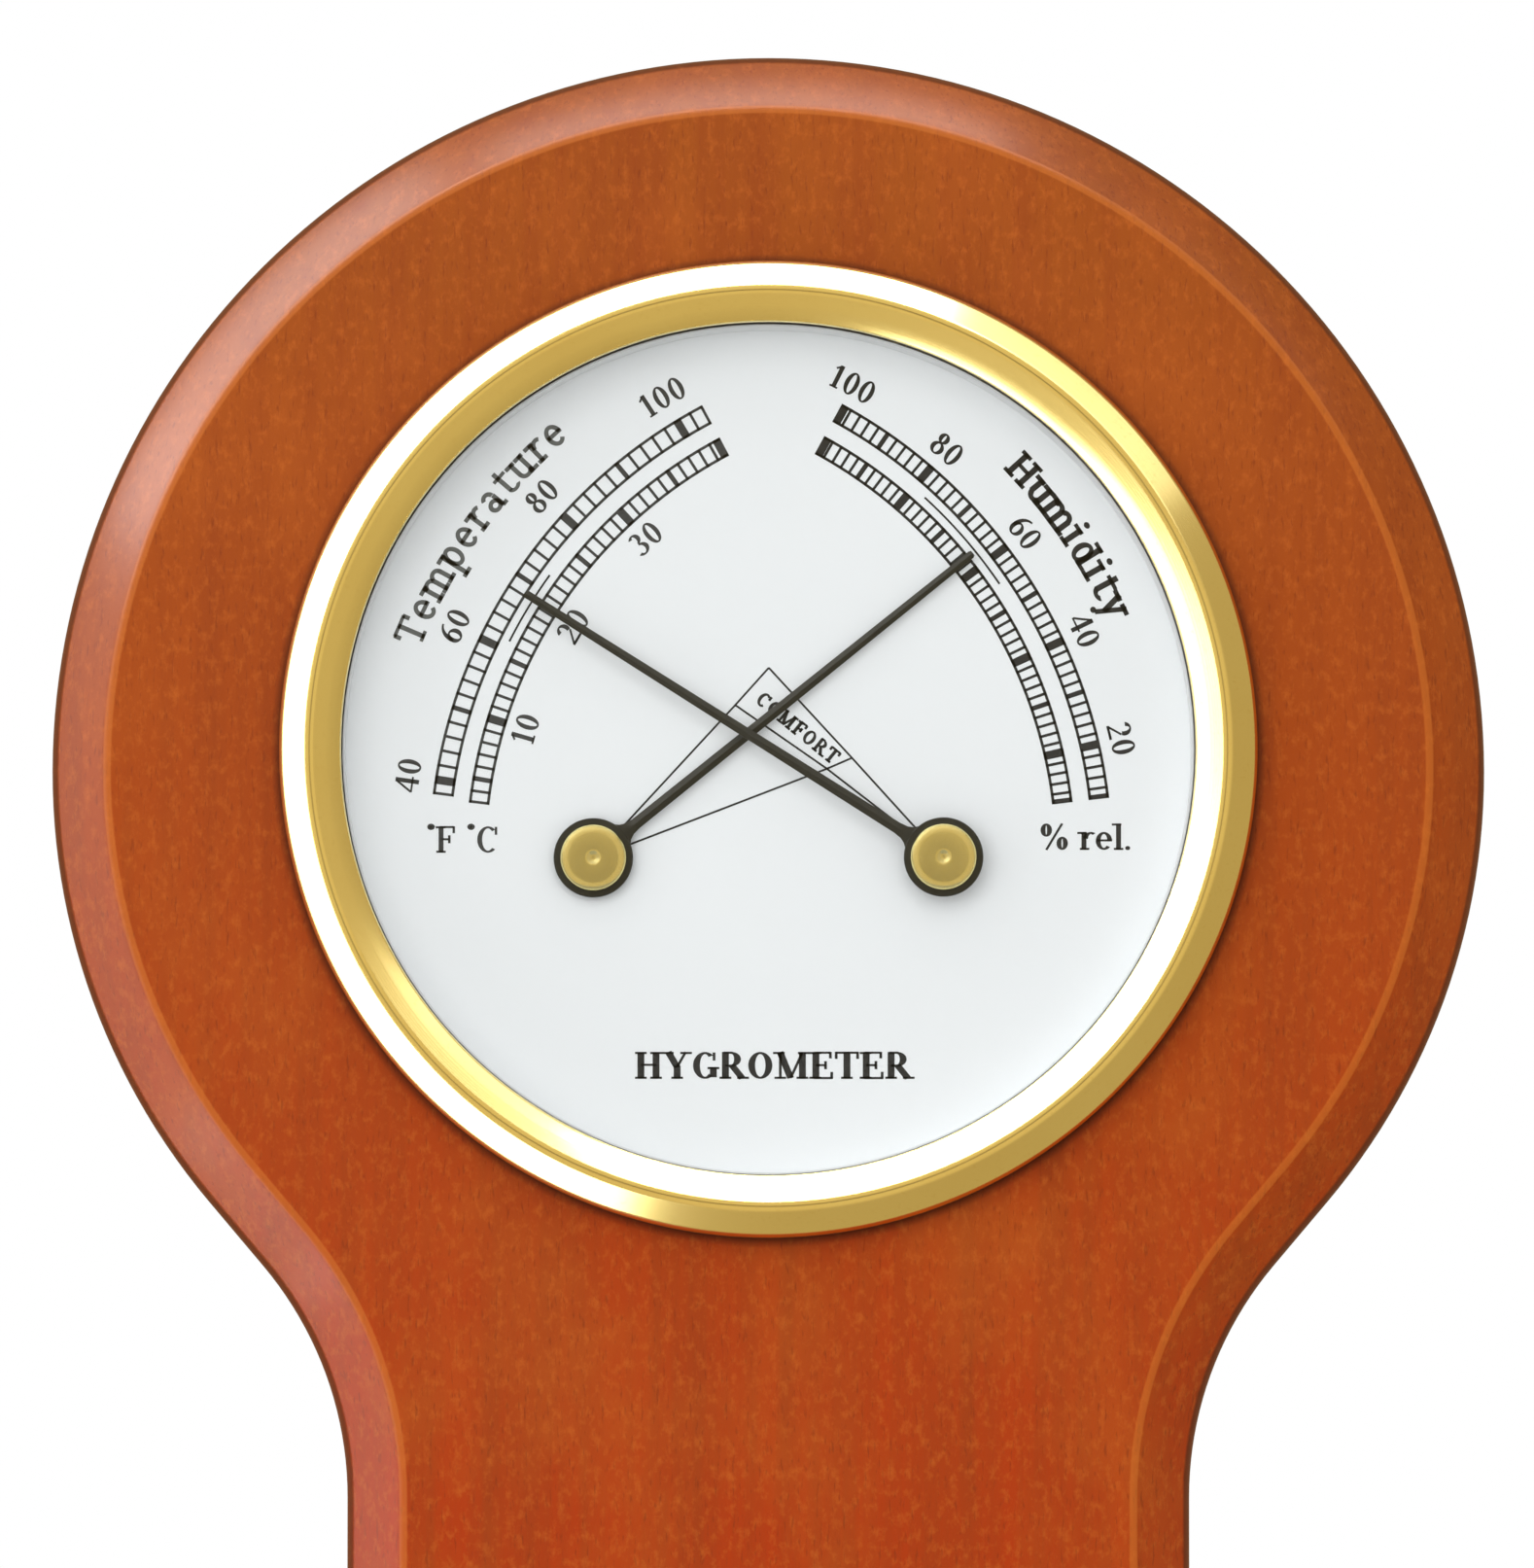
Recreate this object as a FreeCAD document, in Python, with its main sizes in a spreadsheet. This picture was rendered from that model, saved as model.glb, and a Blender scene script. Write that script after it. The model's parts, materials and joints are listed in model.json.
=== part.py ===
"""Thermometer and hygrometer dial in a round wooden wall plaque.

Frame: the origin is the centre of the hanger's round entry hole, on the hanger plate's outer face.
+Z is up and the dial faces -Y, so +X is to the right of someone who reads it.
"Forward" is a distance in front of the plaque's back face, which lies on Y = 0: forward is -Y.
Sizes are in millimetres and angles in degrees.
"""
import FreeCAD, Part
import math
import os
import Sketcher
from FreeCAD import Vector

doc = FreeCAD.newDocument("dial_hygrometer")

# ---------------------------------------------------------------- driving dimensions

SIZES = [
    # wooden plaque
    ("BoardThickness", 20.0, "plaque, back face to front face"),
    ("RimWidth", 28.4, "wood round the bore, out to the crown"),
    ("CrownDrop", 1.9, "centre of the crown below the dial's axis"),
    ("ShoulderShift", 5.1, "shoulder arc's centre from the crown's centre"),
    ("FlankAngle", 40.2, "straight flank's lean from upright"),
    ("NeckFillet", 38.0, "hollow curve from flank to neck"),
    ("NeckHalfWidth", 44.5, "half the width of the neck"),
    ("FootDrop", 108.0, "dial's axis down to the plaque's foot"),
    ("FootCorner", 10.0, "rounded corners of the foot"),
    ("BevelWidth", 6.0, "bevel across the front face"),
    ("BevelDepth", 5.0, "bevel down the edge"),
    # hanger
    ("EntryRadius", 4.5, "round entry of the keyhole"),
    ("SlotHalfWidth", 2.2, "half the width of the keyhole's slot"),
    ("SlotRise", 5.5, "entry centre up to the slot's end centre"),
    ("HangerHalfLength", 21.0, "half the length of the hanger plate"),
    ("HangerHalfHeight", 9.0, "half the height of the hanger plate"),
    ("HangerRise", 2.0, "entry centre up to the plate's centre line"),
    ("HangerWeb", 5.5, "wood between the bore and the hanger plate"),
    ("HangerThickness", 1.5, "hanger plate"),
    ("HangerScrewInset", 5.0, "each wood screw from the end of the plate"),
    ("PocketRoom", 0.5, "pocket behind the keyhole, wider than its entry all round"),
    ("PocketDepth", 6.5, "the same pocket, behind the plate"),
    ("WoodScrewRadius", 1.5, "wood screw's shank"),
    ("WoodScrewHead", 2.9, "wood screw's countersunk head"),
    ("WoodScrewLength", 13.0, "wood screw, head to tip"),
    # wall bumpers
    ("BumperRadius", 5.0, "felt bumper"),
    ("BumperHeight", 2.0, "felt bumper's stand-off from the wall"),
    ("UpperBumperAngle", 34.0, "upper bumpers, round the rim from level"),
    ("LowerBumperInset", 12.0, "lower bumpers from the neck's sides and from the foot"),
    # case, bezel and glass
    ("CaseRadius", 46.2, "outside of the case's wide front part"),
    ("CaseSheet", 0.8, "case's steel sheet"),
    ("LedgeWidth", 1.6, "step inside the case that carries the dial"),
    ("FlangeWidth", 4.0, "case's flange"),
    ("BandThickness", 1.3, "rubber band between the case and the bore"),
    ("BezelRoom", 0.55, "flange's edge to the inside of the bezel"),
    ("BezelSheet", 0.75, "bezel's brass sheet"),
    ("BezelRimHeight", 0.9, "upright rim of the bezel"),
    ("BezelHook", 1.6, "bezel's edge rolled in under the flange"),
    ("CrestInset", 3.1, "bezel's rim in to the top of its round"),
    ("CrestHeight", 2.7, "crest in front of the glass"),
    ("LipInset", 1.2, "bezel's opening, smaller than the case's outside"),
    ("GlassInset", 2.6, "glass, smaller than the flange"),
    ("GlassThickness", 1.5, "glass"),
    ("GasketThickness", 0.5, "gasket behind the glass"),
    ("GasketWidth", 2.7, "gasket, rim to opening"),
    ("SpacerThickness", 0.65, "white ring that holds the dial down"),
    ("DialThickness", 0.6, "dial plate"),
    ("DialHoleRoom", 0.9, "room round the arbor in the dial's hole"),
    ("BandLength", 4.8, "rubber mounting band"),
    ("BandBase", 0.6, "band's thickness between its ribs"),
    ("RibWidth", 0.8, "rib of the band"),
    ("SeatGap", 0.05, "room between pieces that are seated"),
    # vents in the case's back
    ("VentHalfWidth", 1.2, "half the width of a vent slot"),
    ("VentPitch", 7.5, "vent slot to vent slot"),
    ("UpperVentLow", 10.0, "upper vents' lower ends above the dial's axis"),
    ("UpperVentInset", 8.65, "upper vents' farthest ends from the case's wall"),
    ("LowerVentInset", 4.8, "lower vents' farthest ends from the case's wall"),
    ("LowerVentLength", 6.5, "lower vents, between the centres of their ends"),
    # the two movements, one behind each hand's arbor
    ("PivotReach", 18.5, "arbor from the centre line"),
    ("PivotDrop", 11.3, "arbors below the dial's axis"),
    ("BridgeSheet", 1.0, "bridge's brass strip"),
    ("BridgeHalfWidth", 6.0, "half the bridge's width"),
    ("BridgeRoom", 1.4, "bridge's bend beyond the coil and its tab"),
    ("BridgeNose", 3.3, "bridge's front leg above the front bush's spigot"),
    ("BridgeToDial", 1.4, "bridge's front to the dial's back"),
    ("CaseScrewInset", 3.0, "bridge screws from the ends of the bridge"),
    ("CaseScrewRadius", 1.25, "bridge screw's shank"),
    ("CaseScrewHead", 2.3, "bridge screw's head"),
    ("CaseScrewHeadHeight", 1.1, "bridge screw's head"),
    ("CaseScrewEnd", 1.6, "bridge screw beyond the bridge"),
    ("ScrewSlot", 0.7, "width of a screwdriver slot"),
    ("ScrewSlotDepth", 0.5, "depth of a screwdriver slot"),
    ("ArborRadius", 0.8, "arbor"),
    ("ArborPivotRadius", 0.5, "arbor's rear pivot"),
    ("ArborTipRadius", 0.6, "arbor's front end"),
    ("RunningGap", 0.05, "room round a turning shaft, on the radius"),
    ("EndGap", 0.1, "room at each end of a turning shaft"),
    ("RearBushWall", 0.95, "rear bush's spigot round its hole"),
    ("RearBushRim", 0.8, "rear bush's flange beyond its spigot"),
    ("RearBushHeight", 0.7, "rear bush's flange"),
    ("BarrelWall", 2.15, "front bush's barrel round the arbor"),
    ("BushShoulder", 0.8, "front bush's spigot, smaller than its barrel"),
    ("BushRim", 1.2, "front bush's flange beyond its barrel"),
    ("BushFlangeHeight", 0.7, "front bush's flange"),
    ("WasherWidth", 1.55, "regulator's friction washer"),
    ("WasherThickness", 0.7, "regulator's friction washer"),
    ("RegulatorThickness", 0.9, "regulator lever"),
    ("RegulatorEye", 2.15, "regulator's round middle, round its hole"),
    ("RegulatorHalfWidth", 1.5, "half the width of the regulator's arms"),
    ("CoilTabReach", 8.6, "arbor to the outside of the tab that holds the coil"),
    ("SetTabRoom", 6.0, "bridge's side to the tab that is set from behind"),
    ("TabSheet", 0.6, "regulator's tabs"),
    ("SetTabSink", 0.3, "setting tab's end in front of the case's back"),
    ("SetSlotGap", 0.5, "room round the setting tab in its slot"),
    ("SetTravel", 4.5, "regulator's turn each way"),
    ("ColletWall", 1.3, "collet round the arbor"),
    ("ColletLength", 2.4, "collet"),
    ("CoilToFloor", 4.4, "coil's back edge in front of the case's back"),
    ("CoilToBush", 1.0, "coil's front edge behind the front bush"),
    ("CoilWidth", 2.8, "coil's strip across its width"),
    ("CoilHalfTurns", 9.0, "half turns in a coil"),
    ("TemperatureStrip", 0.30, "bimetal strip"),
    ("HumidityStrip", 0.24, "moisture-sensitive strip"),
    # hands
    ("HumidityLift", 1.2, "dial to the humidity hand's back"),
    ("HandPass", 0.4, "temperature hand in front of the humidity hand's cap"),
    ("GlassRoom", 1.7, "temperature hand's cap to the glass"),
    ("TemperatureAngle", 147.74, "temperature hand, anticlockwise from +X"),
    ("HumidityAngle", 38.8, "humidity hand, anticlockwise from +X"),
    ("TemperatureLength", 52.3, "temperature hand"),
    ("HumidityLength", 51.5, "humidity hand"),
    ("HandThickness", 0.4, "hand's sheet"),
    ("HandRootHalfWidth", 0.6, "half the hand's width at its hub"),
    ("HandTipHalfWidth", 0.42, "half the hand's width at its tip"),
    ("HubRadius", 4.2, "hand's round hub"),
    ("HubBushWall", 0.9, "bush behind the hub, round the arbor"),
    ("HubBushLength", 0.7, "bush behind the hub"),
    ("CapInset", 0.7, "brass cap, smaller than the hub"),
    ("CapHeight", 1.0, "brass cap"),
    ("CapEdge", 0.45, "brass cap's upright edge"),
    ("CapDimple", 0.6, "dimple in the cap"),
    ("CapDimpleDepth", 0.3, "dimple in the cap"),
    ("TipSeat", 0.4, "arbor's end inside the cap"),
]

sheet = doc.addObject("Spreadsheet::Sheet", "dim")
for row, (alias, size, meaning) in enumerate(SIZES, start=1):
    sheet.set(f"A{row}", meaning)
    sheet.set(f"B{row}", str(size))
    sheet.setAlias(f"B{row}", alias)
doc.recompute()


def number(text):
    """The present value of an expression on the sheet."""
    answer = sheet.evalExpression(text)
    return float(getattr(answer, "Value", answer))


# Levels forward of the plaque's back face, as expressions on the sheet, from the front to the back.
FLANGE_BACK = "(dim.BoardThickness + dim.BezelSheet + dim.SeatGap)"
FLANGE_FRONT = f"({FLANGE_BACK} + dim.CaseSheet)"
GLASS_BACK = f"({FLANGE_FRONT} + dim.GasketThickness)"
GLASS_FRONT = f"({GLASS_BACK} + dim.GlassThickness)"
BEZEL_LIP = f"({GLASS_FRONT} + dim.SeatGap)"
CREST = f"({GLASS_FRONT} + dim.CrestHeight)"
UPPER_HAND = f"({GLASS_BACK} - dim.GlassRoom - dim.CapHeight - dim.HandThickness)"
LOWER_HAND = f"({UPPER_HAND} - dim.HandPass - dim.CapHeight - dim.HandThickness)"
DIAL_FRONT = f"({LOWER_HAND} - dim.HumidityLift)"
DIAL_BACK = f"({DIAL_FRONT} - dim.DialThickness)"
BRIDGE_FRONT = f"({DIAL_BACK} - dim.BridgeToDial)"
LEG_BACK = f"({BRIDGE_FRONT} - dim.BridgeSheet)"
WASHER_BACK = f"({LEG_BACK} - dim.WasherThickness)"
REGULATOR_FRONT = f"({WASHER_BACK} - dim.SeatGap)"
REGULATOR_BACK = f"({REGULATOR_FRONT} - dim.RegulatorThickness)"
BARREL_BACK = f"({REGULATOR_BACK} - dim.SeatGap)"
BUSH_BACK = f"({BARREL_BACK} - dim.BushFlangeHeight)"
COIL_BACK = f"({BUSH_BACK} - dim.CoilToBush - dim.CoilWidth)"
CASE_FLOOR = f"({COIL_BACK} - dim.CoilToFloor)"
CASE_BACK = f"({CASE_FLOOR} - dim.CaseSheet)"
LEG_FLOOR = f"({CASE_FLOOR} + dim.BridgeSheet)"
REAR_BUSH_FRONT = f"({LEG_FLOOR} + dim.RearBushHeight)"

# Radii and reaches that follow from others.
CASE_INSIDE = "(dim.CaseRadius - dim.CaseSheet)"
CUP_RADIUS = "(dim.CaseRadius - dim.LedgeWidth)"
CUP_INSIDE = f"({CUP_RADIUS} - dim.CaseSheet)"
FLANGE_RADIUS = "(dim.CaseRadius + dim.FlangeWidth)"
GLASS_RADIUS = f"({FLANGE_RADIUS} - dim.GlassInset)"
BORE_RADIUS = "(dim.CaseRadius + dim.BandThickness)"
CROWN_RADIUS = f"({BORE_RADIUS} + dim.RimWidth)"
AXIS_DROP = f"({BORE_RADIUS} + dim.HangerWeb + dim.HangerHalfHeight - dim.HangerRise)"
SCREW_SPAN = "(dim.HangerHalfLength - dim.HangerScrewInset)"
BRIDGE_DEPTH = "(dim.CoilTabReach + dim.BridgeRoom + dim.BridgeSheet)"
SCREW_REACH = f"({BRIDGE_DEPTH} - dim.CaseScrewInset)"
SET_TAB_REACH = "(dim.BridgeHalfWidth + dim.SetTabRoom + dim.TabSheet)"
BARREL_RADIUS = "(dim.ArborRadius + dim.RunningGap + dim.BarrelWall)"
SPIGOT_RADIUS = f"({BARREL_RADIUS} - dim.BushShoulder)"
REAR_SPIGOT = "(dim.ArborPivotRadius + dim.RunningGap + dim.RearBushWall)"
COLLET_RADIUS = "(dim.ArborRadius + dim.ColletWall)"

AXIS = ("0", f"-{AXIS_DROP}")
nodes = {}
cuts = []

# ---------------------------------------------------------------- ways of making a piece


def new_body(label, centre=AXIS):
    """An empty body whose own origin stands at centre, given as X and Z."""
    body = doc.addObject("PartDesign::Body", label)
    body.Label = label
    body.setExpression("Placement.Base.x", centre[0])
    body.setExpression("Placement.Base.z", centre[1])
    return body


def new_sketch(body, role, forward="0"):
    """A sketch on one of the body's planes; one on XZ_Plane faces forward and can stand forward."""
    planes = {plane.Role: plane for plane in body.Origin.OriginFeatures if plane.Role.endswith("Plane")}
    sketch = body.newObject("Sketcher::SketchObject", body.Label + "_sketch")
    sketch.AttachmentSupport = (planes[role], [""])
    sketch.MapMode = "FlatFace"
    sketch.setExpression("AttachmentOffset.Base.z", forward)
    return sketch


def pin(sketch, item, point, x, y):
    """Ties one point of a sketch to two expressions."""
    for kind, text in (("DistanceX", x), ("DistanceY", y)):
        index = sketch.addConstraint(Sketcher.Constraint(kind, -1, 1, item, point, number(text)))
        sketch.setExpression(f"Constraints[{index}]", text)


def outline(sketch, corners):
    """A closed outline.  A corner is (x, y); (x, y, "over") is a point that an arc passes over."""
    spots = [Vector(number(c[0]), number(c[1]), 0) for c in corners]
    stops = [i for i, corner in enumerate(corners) if len(corner) == 2]
    edges = []
    for here, there in zip(stops, stops[1:] + stops[:1]):
        middle = (here + 1) % len(corners)
        if middle == there:
            item = sketch.addGeometry(Part.LineSegment(spots[here], spots[there]))
            edges.append((item, 1, 2))
        else:
            item = sketch.addGeometry(Part.Arc(spots[here], spots[middle], spots[there]))
            forwards = sketch.getPoint(item, 1).distanceToPoint(spots[here]) < 1e-6
            edges.append((item, 1, 2) if forwards else (item, 2, 1))
            over = sketch.addGeometry(Part.Point(spots[middle]), True)
            pin(sketch, over, 1, corners[middle][0], corners[middle][1])
            sketch.addConstraint(Sketcher.Constraint("PointOnObject", over, 1, item))
        pin(sketch, item, edges[-1][1], corners[here][0], corners[here][1])
    for before, after in zip(edges, edges[1:] + edges[:1]):
        sketch.addConstraint(Sketcher.Constraint("Coincident", before[0], before[2], after[0], after[1]))


def circle(sketch, x, y, radius):
    ring = Part.Circle(Vector(number(x), number(y), 0), Vector(0, 0, 1), number(radius))
    item = sketch.addGeometry(ring)
    pin(sketch, item, 3, x, y)
    index = sketch.addConstraint(Sketcher.Constraint("Radius", item, number(radius)))
    sketch.setExpression(f"Constraints[{index}]", radius)


def rectangle(sketch, left, right, low, high):
    outline(sketch, [(left, low), (right, low), (right, high), (left, high)])


def upright_slot(sketch, x, low, high, half_width):
    """A slot with round ends, centred on x; low and high are the centres of its ends."""
    left, right = f"({x} - {half_width})", f"({x} + {half_width})"
    outline(sketch, [(right, low), (right, high), (x, f"{high} + {half_width}", "over"),
                     (left, high), (left, low), (x, f"{low} - {half_width}", "over")])


def pad(body, sketch, length):
    feature = body.newObject("PartDesign::Pad", body.Label + "_pad")
    feature.Profile = sketch
    feature.setExpression("Length", length)
    return feature


def pocket(body, sketch, depth=None):
    """Cuts forward from a sketch, all the way when no depth is given."""
    feature = body.newObject("PartDesign::Pocket", body.Label + "_pocket")
    feature.Profile = sketch
    feature.Reversed = True
    if depth is None:
        feature.Type = "ThroughAll"
    else:
        feature.setExpression("Length", depth)
    cuts.append(feature)
    return feature


def turned(label, corners, centre=AXIS):
    """A turned piece: its outline is given as (radius, forward) and spun about the body's Y axis."""
    body = new_body(label, centre)
    sketch = new_sketch(body, "XY_Plane")
    outline(sketch, [(c[0], f"-({c[1]})") + tuple(c[2:]) for c in corners])
    spin = body.newObject("PartDesign::Revolution", label + "_spin")
    spin.Profile = sketch
    spin.ReferenceAxis = (sketch, ["V_Axis"])
    spin.Angle = 360
    return body


def ring(label, inside, outside, back, front, centre=AXIS):
    return turned(label, [(inside, back), (outside, back), (outside, front), (inside, front)], centre)


def edges_where(feature, test):
    doc.recompute()
    return [f"Edge{i}" for i, edge in enumerate(feature.Shape.Edges, start=1) if test(edge)]


def at_forward(edge, forward):
    box = edge.BoundBox
    return abs(box.YMin + forward) < 1e-4 and abs(box.YMax + forward) < 1e-4


def group(label, pieces):
    """Several equal pieces as one node."""
    together = doc.addObject("Part::Compound", label)
    together.Label = label
    together.Links = pieces
    nodes[label] = together


# ---------------------------------------------------------------- plaque


def plaque_outline(sketch):
    """The crown, two shoulders, flanks and hollow curves, and the neck with its rounded foot."""
    crown_z = number("-dim.CrownDrop")
    shoulder_x = number("dim.ShoulderShift")
    lean = math.radians(number("dim.FlankAngle"))
    crown = number(CROWN_RADIUS)
    shoulder = crown - shoulder_x
    fillet, neck = number("dim.NeckFillet"), number("dim.NeckHalfWidth")
    corner, foot_z = number("dim.FootCorner"), number("-dim.FootDrop")
    reach = shoulder_x * math.cos(lean) + shoulder + fillet
    hollow_x = neck + fillet
    hollow_z = crown_z - (reach - hollow_x * math.cos(lean)) / math.sin(lean)

    def arc(x, z, radius, start, end):
        round_part = Part.Circle(Vector(x, z, 0), Vector(0, 0, 1), radius)
        return sketch.addGeometry(Part.ArcOfCircle(round_part, start, end))

    def line(x, z, to_x, to_z):
        return sketch.addGeometry(Part.LineSegment(Vector(x, z, 0), Vector(to_x, to_z, 0)))

    top = arc(0, crown_z, crown, 0, math.pi)
    sides = []
    for side in (1, -1):
        def turn(start, end):
            return (start, end) if side > 0 else (math.pi - end, math.pi - start)

        shoulder_end = (side * (shoulder_x + shoulder * math.cos(lean)), crown_z - shoulder * math.sin(lean))
        hollow_end = (side * (hollow_x - fillet * math.cos(lean)), hollow_z + fillet * math.sin(lean))
        sides.append({
            "shoulder": arc(side * shoulder_x, crown_z, shoulder, *turn(-lean, 0)),
            "flank": line(*shoulder_end, *hollow_end),
            "hollow": arc(side * hollow_x, hollow_z, fillet, *turn(math.pi - lean, math.pi)),
            "neck": line(side * neck, hollow_z, side * neck, foot_z + corner),
            "corner": arc(side * (neck - corner), foot_z + corner, corner, *turn(-math.pi / 2, 0)),
        })
    foot = line(neck - corner, foot_z, corner - neck, foot_z)

    def tangent(first, first_end, second, second_end):
        sketch.addConstraint(Sketcher.Constraint("Tangent", first, first_end, second, second_end))

    def sized(kind, text, *where):
        index = sketch.addConstraint(Sketcher.Constraint(kind, *where, number(text)))
        sketch.setExpression(f"Constraints[{index}]", text)

    for side, parts in zip((1, -1), sides):
        near, far = (1, 2) if side > 0 else (2, 1)
        tangent(top, near, parts["shoulder"], far)
        tangent(parts["shoulder"], near, parts["flank"], 1)
        tangent(parts["flank"], 2, parts["hollow"], near)
        tangent(parts["hollow"], far, parts["neck"], 1)
        tangent(parts["neck"], 2, parts["corner"], far)
        tangent(parts["corner"], near, foot, near)
        sketch.addConstraint(Sketcher.Constraint("Vertical", parts["neck"]))
    right, left = sides
    for name in ("shoulder", "hollow", "corner"):
        sketch.addConstraint(Sketcher.Constraint("Equal", right[name], left[name]))
    sketch.addConstraint(Sketcher.Constraint("PointOnObject", top, 3, -2))
    sketch.addConstraint(Sketcher.Constraint("Horizontal", right["shoulder"], 3, top, 3))
    sketch.addConstraint(Sketcher.Constraint("Horizontal", left["shoulder"], 3, top, 3))
    sketch.addConstraint(Sketcher.Constraint("Symmetric", foot, 1, foot, 2, -2))
    sketch.addConstraint(Sketcher.Constraint("Horizontal", right["flank"], 2, left["flank"], 2))
    sized("DistanceY", "-dim.CrownDrop", -1, 1, top, 3)
    sized("Radius", CROWN_RADIUS, top)
    sized("Radius", f"{CROWN_RADIUS} - dim.ShoulderShift", right["shoulder"])
    sized("Radius", "dim.NeckFillet", right["hollow"])
    sized("Radius", "dim.FootCorner", right["corner"])
    sized("DistanceX", "dim.NeckHalfWidth", -1, 1, right["neck"], 1)
    sized("DistanceY", "-dim.FootDrop", -1, 1, foot, 1)
    flank_drop = f"({CROWN_RADIUS} - dim.ShoulderShift) * sin(dim.FlankAngle * 1 deg)"
    sized("DistanceY", f"-dim.CrownDrop - {flank_drop}", -1, 1, right["flank"], 1)


def plaque_board():
    body = new_body("plaque_board")
    sketch = new_sketch(body, "XZ_Plane")
    plaque_outline(sketch)
    blank = pad(body, sketch, "dim.BoardThickness")
    front = number("dim.BoardThickness")
    bevel = body.newObject("PartDesign::Chamfer", "plaque_bevel")
    bevel.Base = (blank, edges_where(blank, lambda edge: at_forward(edge, front)))
    bevel.ChamferType = "Two distances"
    bevel.setExpression("Size", "dim.BevelWidth")
    bevel.setExpression("Size2", "dim.BevelDepth")
    body.Tip = bevel

    bore = new_sketch(body, "XZ_Plane")
    circle(bore, "0", "0", BORE_RADIUS)
    pocket(body, bore)

    recess = new_sketch(body, "XZ_Plane")
    hanger_outline(recess, AXIS_DROP, "dim.SeatGap")
    pocket(body, recess, "dim.HangerThickness")

    screw_room = new_sketch(body, "XZ_Plane", "dim.HangerThickness")
    upright_slot(screw_room, "0", AXIS_DROP, f"({AXIS_DROP} + dim.SlotRise)",
                 "(dim.EntryRadius + dim.PocketRoom)")
    pocket(body, screw_room, "dim.PocketDepth")

    pilots = new_sketch(body, "XZ_Plane")
    for side in ("-", ""):
        circle(pilots, f"{side}{SCREW_SPAN}", f"{AXIS_DROP} + dim.HangerRise",
               "dim.WoodScrewRadius + dim.SeatGap")
    pocket(body, pilots, "dim.WoodScrewLength + dim.SeatGap")
    nodes["plaque_board"] = body


# ---------------------------------------------------------------- hanger and bumpers


def hanger_outline(sketch, entry_z, room="0"):
    """The plate's outline with round ends, made larger all round by room."""
    middle = f"({entry_z} + dim.HangerRise)"
    straight = "(dim.HangerHalfLength - dim.HangerHalfHeight)"
    height = f"(dim.HangerHalfHeight + {room})"
    end = f"(dim.HangerHalfLength + {room})"
    outline(sketch, [(straight, f"{middle} - {height}"), (end, middle, "over"),
                     (straight, f"{middle} + {height}"), (f"-{straight}", f"{middle} + {height}"),
                     (f"-{end}", middle, "over"), (f"-{straight}", f"{middle} - {height}")])


def hanger_plate():
    body = new_body("hanger_plate", ("0", "0"))
    plate = new_sketch(body, "XZ_Plane")
    hanger_outline(plate, "0")
    pad(body, plate, "dim.HangerThickness")

    keyhole = new_sketch(body, "XZ_Plane")
    neck_z = "sqrt(dim.EntryRadius^2 - dim.SlotHalfWidth^2)"
    outline(keyhole, [("dim.SlotHalfWidth", neck_z), ("dim.SlotHalfWidth", "dim.SlotRise"),
                      ("0", "dim.SlotRise + dim.SlotHalfWidth", "over"),
                      ("-dim.SlotHalfWidth", "dim.SlotRise"), ("-dim.SlotHalfWidth", neck_z),
                      ("0", "-dim.EntryRadius", "over")])
    pocket(body, keyhole)

    holes = new_sketch(body, "XZ_Plane")
    for side in ("-", ""):
        circle(holes, f"{side}{SCREW_SPAN}", "dim.HangerRise", "dim.WoodScrewRadius + dim.SeatGap")
    drilled = pocket(body, holes)

    hole_radius = number("dim.WoodScrewRadius + dim.SeatGap")
    sink = body.newObject("PartDesign::Chamfer", "hanger_countersinks")
    sink.Base = (drilled, edges_where(drilled, lambda edge: at_forward(edge, 0)
                                      and hasattr(edge.Curve, "Radius")
                                      and abs(edge.Curve.Radius - hole_radius) < 1e-4))
    sink.setExpression("Size", "dim.WoodScrewHead - dim.WoodScrewRadius")
    body.Tip = sink
    nodes["hanger_plate"] = body


def hanger_screws():
    cone = "(dim.WoodScrewHead - dim.WoodScrewRadius)"
    screws = []
    for side in ("-", ""):
        screw = turned("wood_screw", [
            ("0", "0"), ("dim.WoodScrewHead", "0"), ("dim.WoodScrewRadius", cone),
            ("dim.WoodScrewRadius", "dim.WoodScrewLength - 2 * dim.WoodScrewRadius"),
            ("0", "dim.WoodScrewLength")], (f"{side}{SCREW_SPAN}", "dim.HangerRise"))
        slot = new_sketch(screw, "XZ_Plane")
        rectangle(slot, "-dim.WoodScrewHead", "dim.WoodScrewHead", "-dim.ScrewSlot / 2", "dim.ScrewSlot / 2")
        pocket(screw, slot, "dim.ScrewSlotDepth")
        screws.append(screw)
    group("hanger_screws", screws)


def wall_bumpers():
    rim_middle = f"({BORE_RADIUS} + dim.RimWidth / 2)"
    upper = (f"{rim_middle} * cos(dim.UpperBumperAngle * 1 deg)",
             f"-{AXIS_DROP} - dim.CrownDrop + {rim_middle} * sin(dim.UpperBumperAngle * 1 deg)")
    lower = ("(dim.NeckHalfWidth - dim.LowerBumperInset)",
             f"-{AXIS_DROP} - dim.FootDrop + dim.LowerBumperInset")
    pads = []
    for reach, z in (upper, lower):
        for side in ("-", ""):
            place = (f"{side}{reach}", z)
            pads.append(ring("bumper", "0", "dim.BumperRadius", "-dim.BumperHeight", "0", place))
    group("wall_bumpers", pads)


# ---------------------------------------------------------------- case, bezel and glass


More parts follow.
